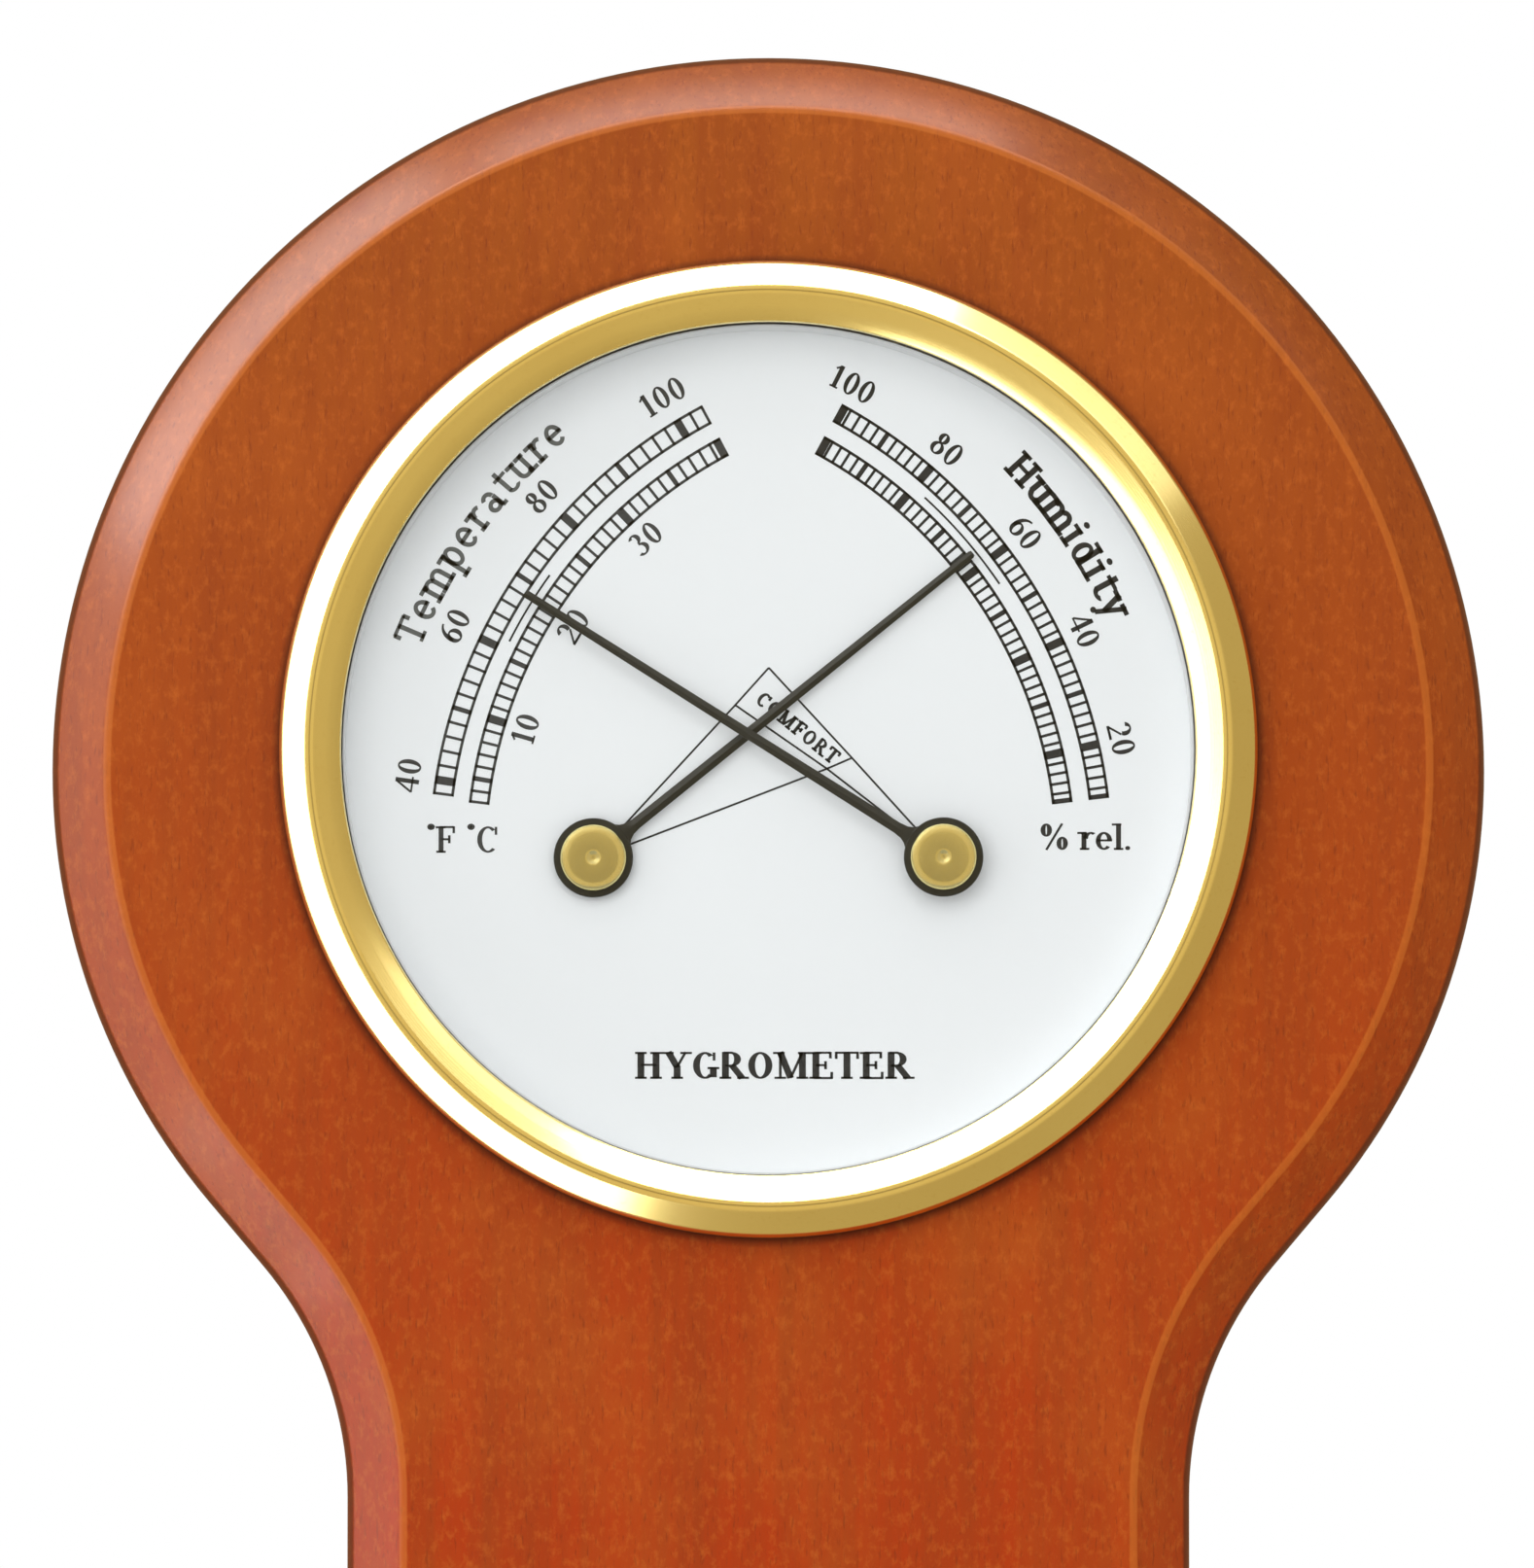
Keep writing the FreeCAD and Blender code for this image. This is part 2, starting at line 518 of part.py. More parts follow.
def case_shell():
    ledge_back = f"{DIAL_BACK} - dim.CaseSheet"
    body = turned("case_shell", [
        ("0", CASE_BACK), (CUP_RADIUS, CASE_BACK), (CUP_RADIUS, ledge_back), ("dim.CaseRadius", ledge_back),
        ("dim.CaseRadius", FLANGE_BACK), (FLANGE_RADIUS, FLANGE_BACK), (FLANGE_RADIUS, FLANGE_FRONT),
        (CASE_INSIDE, FLANGE_FRONT), (CASE_INSIDE, DIAL_BACK), (CUP_INSIDE, DIAL_BACK),
        (CUP_INSIDE, CASE_FLOOR), ("0", CASE_FLOOR)])

    fixings = new_sketch(body, "XZ_Plane", f"{CASE_BACK} - dim.SeatGap")
    swing = f"({SET_TAB_REACH} * sin(dim.SetTravel * 1 deg) + dim.RegulatorHalfWidth + dim.SetSlotGap)"
    for side in ("-", ""):
        pivot_x = f"({side}dim.PivotReach)"
        for sign in ("+", "-"):
            circle(fixings, pivot_x, f"-dim.PivotDrop {sign} {SCREW_REACH}",
                   "dim.CaseScrewRadius + 2 * dim.SeatGap")
        tab_end = f"({pivot_x} + {SET_TAB_REACH})"
        rectangle(fixings, f"{tab_end} - dim.TabSheet - 2 * dim.SetSlotGap", f"{tab_end} + dim.SetSlotGap",
                  f"-dim.PivotDrop - {swing}", f"-dim.PivotDrop + {swing}")
    pocket(body, fixings, "dim.CaseSheet + 2 * dim.SeatGap")

    vents = new_sketch(body, "XZ_Plane", f"{CASE_BACK} - dim.SeatGap")
    upper_high = f"sqrt(({CUP_INSIDE} - dim.UpperVentInset)^2 - (3 * dim.VentPitch)^2)"
    lower_low = f"(-sqrt(({CUP_INSIDE} - dim.LowerVentInset)^2 - (2 * dim.VentPitch)^2))"
    for step in range(-3, 4):
        upright_slot(vents, f"({step} * dim.VentPitch)", "dim.UpperVentLow", upper_high, "dim.VentHalfWidth")
    for step in range(-2, 3):
        upright_slot(vents, f"({step} * dim.VentPitch)", lower_low, f"({lower_low} + dim.LowerVentLength)",
                     "dim.VentHalfWidth")
    pocket(body, vents, "dim.CaseSheet + 2 * dim.SeatGap")
    nodes["case_shell"] = body


def bezel_ring():
    """Spun brass: a round that swells from the rim to the crest and falls to the glass."""
    sheet_in = "dim.BezelSheet"
    rim = f"({FLANGE_RADIUS} + dim.BezelRoom + {sheet_in})"
    crest = f"({rim} - dim.CrestInset)"
    lip = "(dim.CaseRadius - dim.LipInset)"
    hook = f"({FLANGE_RADIUS} - dim.BezelHook)"
    rim_top = "(dim.BoardThickness + dim.BezelRimHeight)"
    rise = f"({CREST} - {rim_top})"
    fall = f"({CREST} - {BEZEL_LIP})"
    nodes["bezel_ring"] = turned("bezel_ring", [
        (rim, "dim.BoardThickness"), (rim, rim_top),
        (f"{crest} + 0.80 * ({rim} - {crest})", f"{rim_top} + 0.60 * {rise}", "over"),
        (crest, CREST),
        (f"{lip} + 0.42 * ({crest} - {lip})", f"{CREST} - 0.42 * {fall}", "over"),
        (lip, f"{BEZEL_LIP} + {sheet_in}"), (lip, BEZEL_LIP),
        (f"{lip} + 1.6 * {sheet_in}", BEZEL_LIP),
        (crest, f"{CREST} - {sheet_in}"),
        (f"{crest} + 0.80 * ({rim} - {crest}) - 0.72 * {sheet_in}",
         f"{rim_top} + 0.60 * {rise} - 0.72 * {sheet_in}", "over"),
        (f"{rim} - {sheet_in}", rim_top), (f"{rim} - {sheet_in}", f"dim.BoardThickness + {sheet_in}"),
        (hook, f"dim.BoardThickness + {sheet_in}"), (hook, "dim.BoardThickness")])


def front_rings():
    nodes["glass_gasket"] = ring("glass_gasket", f"{GLASS_RADIUS} - dim.GasketWidth", GLASS_RADIUS,
                                 FLANGE_FRONT, GLASS_BACK)
    nodes["glass_lens"] = ring("glass_lens", "0", GLASS_RADIUS, GLASS_BACK, GLASS_FRONT)
    outside = f"({CASE_INSIDE} - dim.SeatGap)"
    nodes["dial_spacer_ring"] = ring("dial_spacer_ring", f"{outside} - dim.SpacerThickness", outside,
                                     DIAL_FRONT, FLANGE_FRONT)


def mounting_band():
    """A rubber ring with three ribs that grip the plaque's bore."""
    base = "(dim.CaseRadius + dim.SeatGap)"
    valley = f"({base} + dim.BandBase)"
    crest = f"({BORE_RADIUS} - dim.SeatGap)"
    back = "(dim.BoardThickness - dim.BandLength)"
    step = "((dim.BandLength - dim.RibWidth) / 2)"
    corners = [(base, back)]
    for rib in range(3):
        low = f"{back} + {rib} * {step}"
        high = f"{low} + dim.RibWidth"
        corners += [(valley, low), (crest, low), (crest, high), (valley, high)]
    corners = [corners[0]] + corners[2:-1] + [(base, "dim.BoardThickness")]
    nodes["mounting_band"] = turned("mounting_band", corners)


def dial_plate():
    body = ring("dial_plate", "0", f"{CASE_INSIDE} - 2 * dim.SeatGap", DIAL_BACK, DIAL_FRONT)
    holes = new_sketch(body, "XZ_Plane")
    for side in ("-", ""):
        circle(holes, f"{side}dim.PivotReach", "-dim.PivotDrop", "dim.ArborRadius + dim.DialHoleRoom")
    pocket(body, holes)
    nodes["dial_plate"] = body


# ---------------------------------------------------------------- movements


def bridge(name, centre):
    """A brass strip bent to a C: its back leg is screwed to the case, its front leg carries the bush."""
    body = new_body(f"{name}_bridge", centre)
    sketch = new_sketch(body, "YZ_Plane")
    low = f"-{BRIDGE_DEPTH}"
    nose = f"({SPIGOT_RADIUS} + dim.BridgeNose)"
    outline(sketch, [
        (f"-{CASE_FLOOR}", low), (f"-{BRIDGE_FRONT}", low), (f"-{BRIDGE_FRONT}", nose),
        (f"-{LEG_BACK}", nose), (f"-{LEG_BACK}", f"{low} + dim.BridgeSheet"),
        (f"-{LEG_FLOOR}", f"{low} + dim.BridgeSheet"), (f"-{LEG_FLOOR}", BRIDGE_DEPTH),
        (f"-{CASE_FLOOR}", BRIDGE_DEPTH)])
    strip = pad(body, sketch, "2 * dim.BridgeHalfWidth")
    strip.SideType = "Symmetric"

    back_holes = new_sketch(body, "XZ_Plane", f"{CASE_FLOOR} - dim.SeatGap")
    circle(back_holes, "0", "0", f"{REAR_SPIGOT} + dim.SeatGap")
    for sign in ("-", ""):
        circle(back_holes, "0", f"{sign}{SCREW_REACH}", "dim.CaseScrewRadius + dim.SeatGap")
    pocket(body, back_holes, "dim.BridgeSheet + 2 * dim.SeatGap")

    front_hole = new_sketch(body, "XZ_Plane", f"{LEG_BACK} - dim.SeatGap")
    circle(front_hole, "0", "0", f"{SPIGOT_RADIUS} + dim.SeatGap")
    pocket(body, front_hole)
    nodes[f"{name}_bridge"] = body


def bridge_screws(name, pivot_x):
    head_back = f"({CASE_BACK} - dim.CaseScrewHeadHeight)"
    tip = f"({LEG_FLOOR} + dim.CaseScrewEnd)"
    screws = []
    for sign in ("+", "-"):
        screw = turned("bridge_screw", [
            ("0", head_back), ("dim.CaseScrewHead", head_back), ("dim.CaseScrewHead", CASE_BACK),
            ("dim.CaseScrewRadius", CASE_BACK), ("dim.CaseScrewRadius", tip), ("0", tip)],
            (pivot_x, f"-{AXIS_DROP} - dim.PivotDrop {sign} {SCREW_REACH}"))
        slot = new_sketch(screw, "XZ_Plane", f"{head_back} - dim.SeatGap")
        rectangle(slot, "-dim.CaseScrewHead", "dim.CaseScrewHead", "-dim.ScrewSlot / 2", "dim.ScrewSlot / 2")
        pocket(screw, slot, "dim.ScrewSlotDepth + dim.SeatGap")
        screws.append(screw)
    group(f"{name}_bridge_screws", screws)


def bearings(name, centre):
    """The two bushes that the arbor turns in, and the washer that holds the regulator by friction."""
    pivot_hole = "dim.ArborPivotRadius + dim.RunningGap"
    shaft_hole = "dim.ArborRadius + dim.RunningGap"
    rear_rim = f"({REAR_SPIGOT} + dim.RearBushRim)"
    flange = f"({BARREL_RADIUS} + dim.BushRim)"
    washer_hole = f"({BARREL_RADIUS} + dim.RunningGap)"
    nodes[f"{name}_rear_bush"] = turned(f"{name}_rear_bush", [
        (pivot_hole, CASE_FLOOR), (REAR_SPIGOT, CASE_FLOOR), (REAR_SPIGOT, LEG_FLOOR),
        (rear_rim, LEG_FLOOR), (rear_rim, REAR_BUSH_FRONT), (pivot_hole, REAR_BUSH_FRONT)], centre)
    nodes[f"{name}_front_bush"] = turned(f"{name}_front_bush", [
        (shaft_hole, BUSH_BACK), (flange, BUSH_BACK), (flange, BARREL_BACK),
        (BARREL_RADIUS, BARREL_BACK), (BARREL_RADIUS, LEG_BACK),
        (SPIGOT_RADIUS, LEG_BACK), (SPIGOT_RADIUS, BRIDGE_FRONT), (shaft_hole, BRIDGE_FRONT)], centre)
    nodes[f"{name}_friction_washer"] = ring(
        f"{name}_friction_washer", washer_hole, f"{washer_hole} + dim.WasherWidth",
        WASHER_BACK, f"{LEG_BACK} - dim.SeatGap / 2", centre)


def regulator(name, centre):
    """The setting lever: one bent tab holds the coil's outer end, the other is reached from behind."""
    body = new_body(f"{name}_regulator", centre)
    eye_radius = f"({BARREL_RADIUS} + dim.RunningGap)"
    lever = new_sketch(body, "XZ_Plane", REGULATOR_BACK)
    circle(lever, "0", "0", f"{eye_radius} + dim.RegulatorEye")
    pad(body, lever, "dim.RegulatorThickness")
    arms = new_sketch(body, "XZ_Plane", REGULATOR_BACK)
    wide = "dim.RegulatorHalfWidth"
    rectangle(arms, "-dim.CoilTabReach", SET_TAB_REACH, f"-{wide}", wide)
    pad(body, arms, "dim.RegulatorThickness")
    coil_tab = new_sketch(body, "XZ_Plane", COIL_BACK)
    rectangle(coil_tab, "-dim.CoilTabReach", "-dim.CoilTabReach + dim.TabSheet", f"-{wide}", wide)
    pad(body, coil_tab, f"{REGULATOR_FRONT} - {COIL_BACK}")
    set_tab = new_sketch(body, "XZ_Plane", f"{CASE_BACK} + dim.SetTabSink")
    rectangle(set_tab, f"{SET_TAB_REACH} - dim.TabSheet", SET_TAB_REACH, f"-{wide}", wide)
    pad(body, set_tab, f"{REGULATOR_FRONT} - {CASE_BACK} - dim.SetTabSink")
    eye = new_sketch(body, "XZ_Plane")
    circle(eye, "0", "0", eye_radius)
    pocket(body, eye)
    nodes[f"{name}_regulator"] = body


def coil(name, centre, strip):
    """A strip wound in half circles about two centres, from the collet out to the regulator's tab."""
    half_turns = int(number("dim.CoilHalfTurns"))
    thickness = number(strip)
    inside = number(f"{COLLET_RADIUS} + dim.RunningGap + {strip} / 2")
    outside = number(f"dim.CoilTabReach - dim.TabSheet - dim.RunningGap - {strip} / 2")
    growth = (outside - inside) / half_turns

    def wound(offset):
        """One face of the strip, as edges from the inner end to the outer end."""
        edges = []
        for turn in range(half_turns):
            side = -1 if turn % 2 else 1
            radius = inside + growth * (turn + 0.5) + offset
            middle = Vector(-side * growth / 2, 0, 0)
            edges.append(Part.Arc(middle + Vector(side * radius, 0, 0), middle + Vector(0, 0, side * radius),
                                  middle + Vector(-side * radius, 0, 0)).toShape())
        return edges

    inner, outer = wound(-thickness / 2), wound(thickness / 2)
    ends = [Part.makeLine(inner[0].firstVertex().Point, outer[0].firstVertex().Point),
            Part.makeLine(inner[-1].lastVertex().Point, outer[-1].lastVertex().Point)]
    face = Part.Face(Part.Wire(Part.__sortEdges__(inner + outer + ends)))
    piece = doc.addObject("Part::Feature", f"{name}_coil")
    piece.Label = f"{name}_coil"
    piece.Shape = face.extrude(Vector(0, -number("dim.CoilWidth"), 0))
    piece.Placement.Base = Vector(number(centre[0]), -number(COIL_BACK), number(centre[1]))
    nodes[f"{name}_coil"] = piece


def arbor(name, centre, blade_back):
    shoulder = f"{REAR_BUSH_FRONT} + dim.EndGap"
    tip = f"{blade_back} + dim.HandThickness + dim.TipSeat"
    nodes[f"{name}_arbor"] = turned(f"{name}_arbor", [
        ("0", f"{CASE_FLOOR} + dim.EndGap"), ("dim.ArborPivotRadius", f"{CASE_FLOOR} + dim.EndGap"),
        ("dim.ArborPivotRadius", shoulder), ("dim.ArborRadius", shoulder), ("dim.ArborRadius", DIAL_FRONT),
        ("dim.ArborTipRadius", f"{DIAL_FRONT} + dim.EndGap"), ("dim.ArborTipRadius", tip), ("0", tip)],
        centre)
    collet_back = f"{COIL_BACK} + (dim.CoilWidth - dim.ColletLength) / 2"
    nodes[f"{name}_collet"] = ring(f"{name}_collet", "dim.ArborRadius + dim.SeatGap / 2", COLLET_RADIUS,
                                   collet_back, f"{collet_back} + dim.ColletLength", centre)


def hand(name, centre, blade_back, angle, length):
    """A round hub with a slender blade, and a bush behind the hub that is pressed on the arbor."""
    body = new_body(f"{name}_hand", centre)
    blade = new_sketch(body, "XZ_Plane", blade_back)
    root, tip = "dim.HandRootHalfWidth", "dim.HandTipHalfWidth"
    root_x = f"sqrt(dim.HubRadius^2 - {root}^2)"
    outline(blade, [(root_x, root), ("-dim.HubRadius", "0", "over"), (root_x, f"-{root}"),
                    (length, f"-{tip}"), (length, tip)])
    pad(body, blade, "dim.HandThickness")
    bush = new_sketch(body, "XZ_Plane", f"{blade_back} - dim.HubBushLength")
    circle(bush, "0", "0", "dim.ArborTipRadius + dim.HubBushWall")
    pad(body, bush, "dim.HubBushLength")
    hole = new_sketch(body, "XZ_Plane")
    circle(hole, "0", "0", "dim.ArborTipRadius + dim.SeatGap / 2")
    pocket(body, hole)
    body.Placement.Rotation = FreeCAD.Rotation(Vector(0, -1, 0), number(angle))
    body.setExpression("Placement.Rotation.Angle", f"{angle} * 1 deg")
    nodes[f"{name}_hand"] = body


def hand_cap(name, centre, blade_back):
    """A brass cap with a soft dome, a dimple in its middle and a seat for the arbor's end."""
    back = f"({blade_back} + dim.HandThickness)"
    top = f"({back} + dim.CapHeight)"
    cap_radius = "(dim.HubRadius - dim.CapInset)"
    seat = "dim.ArborTipRadius + dim.SeatGap / 2"
    shoulder = f"({back} + dim.CapEdge)"
    nodes[f"{name}_hand_cap"] = turned(f"{name}_hand_cap", [
        (seat, back), (cap_radius, back), (cap_radius, shoulder),
        (f"0.72 * {cap_radius}", f"{shoulder} + 0.70 * ({top} - {shoulder})", "over"),
        ("dim.CapDimple", top), ("0", f"{top} - dim.CapDimpleDepth"),
        ("0", f"{back} + dim.TipSeat + dim.SeatGap"), (seat, f"{back} + dim.TipSeat + dim.SeatGap")], centre)


def movement(name, side, blade_back):
    pivot_x = f"{side}dim.PivotReach"
    centre = (pivot_x, f"-{AXIS_DROP} - dim.PivotDrop")
    title = name.capitalize()
    bridge(name, centre)
    bridge_screws(name, pivot_x)
    bearings(name, centre)
    regulator(name, centre)
    coil(name, centre, f"dim.{title}Strip")
    arbor(name, centre, blade_back)
    hand(name, centre, blade_back, f"dim.{title}Angle", f"dim.{title}Length")
    hand_cap(name, centre, blade_back)


# ---------------------------------------------------------------- assembly

plaque_board()
hanger_plate()
hanger_screws()
wall_bumpers()
case_shell()
bezel_ring()
front_rings()
mounting_band()
dial_plate()
movement("temperature", "", UPPER_HAND)
movement("humidity", "-", LOWER_HAND)
doc.recompute()

for item in doc.Objects:
    if {"Invalid", "Error"} & set(item.State):
        raise RuntimeError(f"{item.Label} failed to recompute: {item.State}")
for cut in cuts:
    if cut.Shape.Volume >= cut.BaseFeature.Shape.Volume - 1e-6:
        raise RuntimeError(f"{cut.Label} removes nothing")
for label, piece in nodes.items():
    if piece.Shape.isNull() or not piece.Shape.isValid() or piece.Shape.Volume <= 0:
        raise RuntimeError(f"{label} has no valid shape")

os.makedirs("parts", exist_ok=True)
for label, piece in nodes.items():
    piece.Shape.exportStep(os.path.join("parts", label + ".step"))
    box = piece.Shape.BoundBox
    print(f"{label:30s} {len(piece.Shape.Solids)} solid  {piece.Shape.Volume:10.1f} mm3"
          f"  {box.XLength:6.1f} x {box.YLength:5.1f} x {box.ZLength:6.1f}")
print(len(nodes), "nodes written")
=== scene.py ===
# %% [markdown]
# # A wall thermometer and hygrometer
# A round dial instrument sits in the round head of a cherry-stained wooden plaque. The design is
# loaded first, as a fixed frame of bodies and nodes, and every piece made here takes its place
# and its size from it. Each step says what the real piece is and why it is made this way.

# %% Load the design
import json
import math
from collections import namedtuple

import bmesh
import bpy
from mathutils import Matrix, Vector

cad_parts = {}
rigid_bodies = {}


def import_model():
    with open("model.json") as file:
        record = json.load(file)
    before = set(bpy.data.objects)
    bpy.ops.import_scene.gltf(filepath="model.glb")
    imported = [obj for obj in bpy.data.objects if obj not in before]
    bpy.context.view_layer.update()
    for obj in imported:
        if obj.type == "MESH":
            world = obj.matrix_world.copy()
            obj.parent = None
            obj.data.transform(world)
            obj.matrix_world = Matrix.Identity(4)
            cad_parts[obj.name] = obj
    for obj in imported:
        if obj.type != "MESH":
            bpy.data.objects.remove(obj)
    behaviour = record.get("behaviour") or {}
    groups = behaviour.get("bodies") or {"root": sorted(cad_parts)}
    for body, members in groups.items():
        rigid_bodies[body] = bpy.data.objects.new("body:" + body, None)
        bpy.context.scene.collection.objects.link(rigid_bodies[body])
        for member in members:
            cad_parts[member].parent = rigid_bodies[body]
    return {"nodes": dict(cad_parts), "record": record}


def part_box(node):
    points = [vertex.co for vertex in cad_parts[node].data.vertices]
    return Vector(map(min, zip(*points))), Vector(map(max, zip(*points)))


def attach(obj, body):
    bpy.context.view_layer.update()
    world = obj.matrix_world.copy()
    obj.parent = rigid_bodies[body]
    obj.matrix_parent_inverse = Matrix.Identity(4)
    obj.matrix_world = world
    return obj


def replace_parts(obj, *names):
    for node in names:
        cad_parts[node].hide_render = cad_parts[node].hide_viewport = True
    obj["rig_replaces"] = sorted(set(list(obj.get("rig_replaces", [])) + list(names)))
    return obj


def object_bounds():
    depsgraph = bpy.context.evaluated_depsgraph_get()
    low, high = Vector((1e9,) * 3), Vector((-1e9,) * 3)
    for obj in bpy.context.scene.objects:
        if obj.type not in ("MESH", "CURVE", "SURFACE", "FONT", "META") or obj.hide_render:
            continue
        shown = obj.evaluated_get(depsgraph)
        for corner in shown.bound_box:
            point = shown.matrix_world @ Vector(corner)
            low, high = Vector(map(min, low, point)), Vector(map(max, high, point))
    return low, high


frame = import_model()
cad_low, cad_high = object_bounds()
MM = 0.001
print("design:", [round(side / MM, 1) for side in cad_high - cad_low], "mm")

# %% [markdown]
# ## Where things are
# The instrument is round, so nearly every piece is described by a radius from the dial's axis and
# a distance forward of the plaque's back. The functions below read both from the design's boxes,
# in millimetres, and `at` turns such a place back into a point of the frame.

# %% Places on the instrument
def level(node, end):
    """How far forward a node reaches, in millimetres: end is "back" or "front"."""
    low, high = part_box(node)
    return (-high.y if end == "back" else -low.y) / MM


def radius(node):
    """Half a node's width, in millimetres."""
    low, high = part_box(node)
    return (high.x - low.x) / 2 / MM


rim_low, rim_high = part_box("bezel_ring")
DIAL_AXIS = (rim_low + rim_high) / 2


def at(x, z, forward):
    """A point x to the right of the dial's axis, z above it and so far forward of the plaque's back."""
    return Vector((DIAL_AXIS.x + x * MM, -forward * MM, DIAL_AXIS.z + z * MM))


def pivot(side):
    """Where a hand turns, in millimetres from the dial's axis."""
    low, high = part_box(f"{side}_hand_cap")
    middle = (low + high) / 2 - DIAL_AXIS
    return middle.x / MM, middle.z / MM


def add_object(name, data):
    made = bpy.data.objects.new(name, data)
    bpy.context.collection.objects.link(made)
    return made


SIDES = ("temperature", "humidity")
BOARD = level("plaque_board", "front")
DIAL = level("dial_plate", "front")
print("pivots:", {side: [round(v, 2) for v in pivot(side)] for side in SIDES}, "dial at", round(DIAL, 2))

# %% [markdown]
# ## Camera
# The instrument is seen almost squarely from well away through a long lens, from slightly below.
# The lens follows from how much of the object the picture's height takes in.

# %% Camera
PICTURE_HEIGHT = 165.57       # millimetres of the object from the picture's top to its bottom
CAMERA_DISTANCE = 1500.0
CAMERA_RISE = -3.0            # degrees above level
AIM = (-0.14, -3.6)           # picture's middle from the dial's axis

camera = add_object("camera", bpy.data.cameras.new("camera"))
bpy.context.scene.camera = camera
camera.data.sensor_width = 36.0
camera.data.lens = camera.data.sensor_width * CAMERA_DISTANCE / PICTURE_HEIGHT
tilt = math.radians(CAMERA_RISE)
back_off = Vector((0, -math.cos(tilt), math.sin(tilt)))
camera.location = at(*AIM, BOARD) + back_off * CAMERA_DISTANCE * MM
camera.rotation_mode = "QUATERNION"
camera.rotation_quaternion = (-back_off).to_track_quat("-Z", "Y")
camera.data.clip_start, camera.data.clip_end = 0.01, 20
print("lens", round(camera.data.lens, 1), "mm at", [round(v, 3) for v in camera.location])

# %% [markdown]
# ## Studio
# Brass shows what stands round it, so large bright cards stand where the sloping sides of the bezel
# can mirror them. They only show in gloss. Two broad soft lamps, one nearly in front and one low on
# the left, give the shaded light, and they only reach matt surfaces. Each is placed by its bearing,
# anticlockwise from the right as the dial is seen, and by how far it leans away from straight ahead.

# %% Cards and lamps
PANEL_DISTANCE = 1.0
PANELS = {  # name: (bearing, lean, size round the dial, size across, all in degrees, brightness)
    "soft lamp": (130, 14, 50, 40, 2.3),
    "low soft lamp": (178, 62, 60, 30, 0.5),
    "left card": (181, 70, 68, 44, 3.5),
    "upper left card": (138, 70, 40, 38, 13.0),
    "top card": (92, 68, 44, 32, 12.0),
    "upper right card": (50, 66, 30, 28, 1.3),
    "lower left card": (231, 74, 40, 30, 4.5),
}
for name, (bearing, lean, around, across, brightness) in PANELS.items():
    lamp = bpy.data.lights.new(name, "AREA")
    lamp.shape = "RECTANGLE"
    lamp.size, lamp.size_y = [2 * PANEL_DISTANCE * math.tan(math.radians(side) / 2)
                              for side in (around, across)]
    lamp.energy = brightness * math.pi * lamp.size * lamp.size_y
    panel = add_object(name, lamp)
    aimed = (Matrix.Rotation(math.radians(90 - bearing), 4, "Y")
             @ Matrix.Rotation(math.radians(90 - lean), 4, "X"))
    panel.matrix_world = Matrix.Translation(DIAL_AXIS) @ aimed @ Matrix.Translation((0, 0, PANEL_DISTANCE))
    panel.visible_camera = panel.visible_transmission = False
    panel.visible_glossy = "card" in name
    panel.visible_diffuse = "lamp" in name

# %% [markdown]
# ## Tools of the workshop
# Most pieces are turned on a lathe, so `turned` joins a few corners, rounds them and spins them.
# `finish` turns a worked mesh into a piece: it welds it, turns its faces outwards, shades it
# smooth up to a crease and lets it ride on the body that carries it.

# %% Lathe
def only(items, kind):
    return [item for item in items if isinstance(item, kind)]


def turned(corners, centre=(0, 0), steps=160, closed=True, segments=5):
    """Spins the profile of (radius, forward, rounding) corners round the axis through centre."""
    bm = bmesh.new()
    chain = [bm.verts.new(at(centre[0] + r, centre[1], forward)) for r, forward, _ in corners]
    for near, far in zip(chain, chain[1:] + chain[:1] * closed):
        bm.edges.new((near, far))
    for corner, (_, _, rounding) in zip(chain, corners):
        if rounding:
            bmesh.ops.bevel(bm, geom=[corner], offset=rounding * MM, segments=segments, profile=0.5,
                            affect="VERTICES", material=-1)
    bmesh.ops.spin(bm, geom=bm.verts[:] + bm.edges[:], cent=at(*centre, 0), axis=(0, 1, 0),
                   angle=2 * math.pi, steps=steps, use_merge=True, use_duplicate=False)
    return bm


# %% Finishing
def finish(bm, name, body, material, stands_for=(), crease=35, weld=True):
    """Makes the worked mesh a piece that rides on a body and stands for these design nodes."""
    if weld:
        bmesh.ops.remove_doubles(bm, verts=bm.verts, dist=1e-7)
    bmesh.ops.recalc_face_normals(bm, faces=bm.faces)
    mesh = bpy.data.meshes.new(name)
    bm.to_mesh(mesh)
    bm.free()
    mesh.shade_smooth()
    mesh.set_sharp_from_angle(angle=math.radians(crease))
    mesh.materials.append(material)
    piece = add_object(name, mesh)
    flats = piece.modifiers.new("flats stay flat", "WEIGHTED_NORMAL")
    flats.keep_sharp = True
    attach(piece, body)
    if stands_for:
        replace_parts(piece, *stands_for)
    print(f"{name}: {len(mesh.polygons)} faces on {body}")
    return piece


# %% [markdown]
# ## Shader tools
# `node` places a shader node with its settings and inputs, and `new_material` starts a finish with
# what is the same all over it. Effects that several finishes share become groups with named inputs.

# %% Shader helpers
def node(tree, kind, inputs=(), **settings):
    """A new node. Inputs are given as pairs of a socket's name or number and a value or a link."""
    made = tree.nodes.new(kind)
    for name, value in settings.items():
        setattr(made, name, value)
    for name, value in inputs:
        if isinstance(value, bpy.types.NodeSocket):
            tree.links.new(value, made.inputs[name])
        else:
            made.inputs[name].default_value = value
    return made


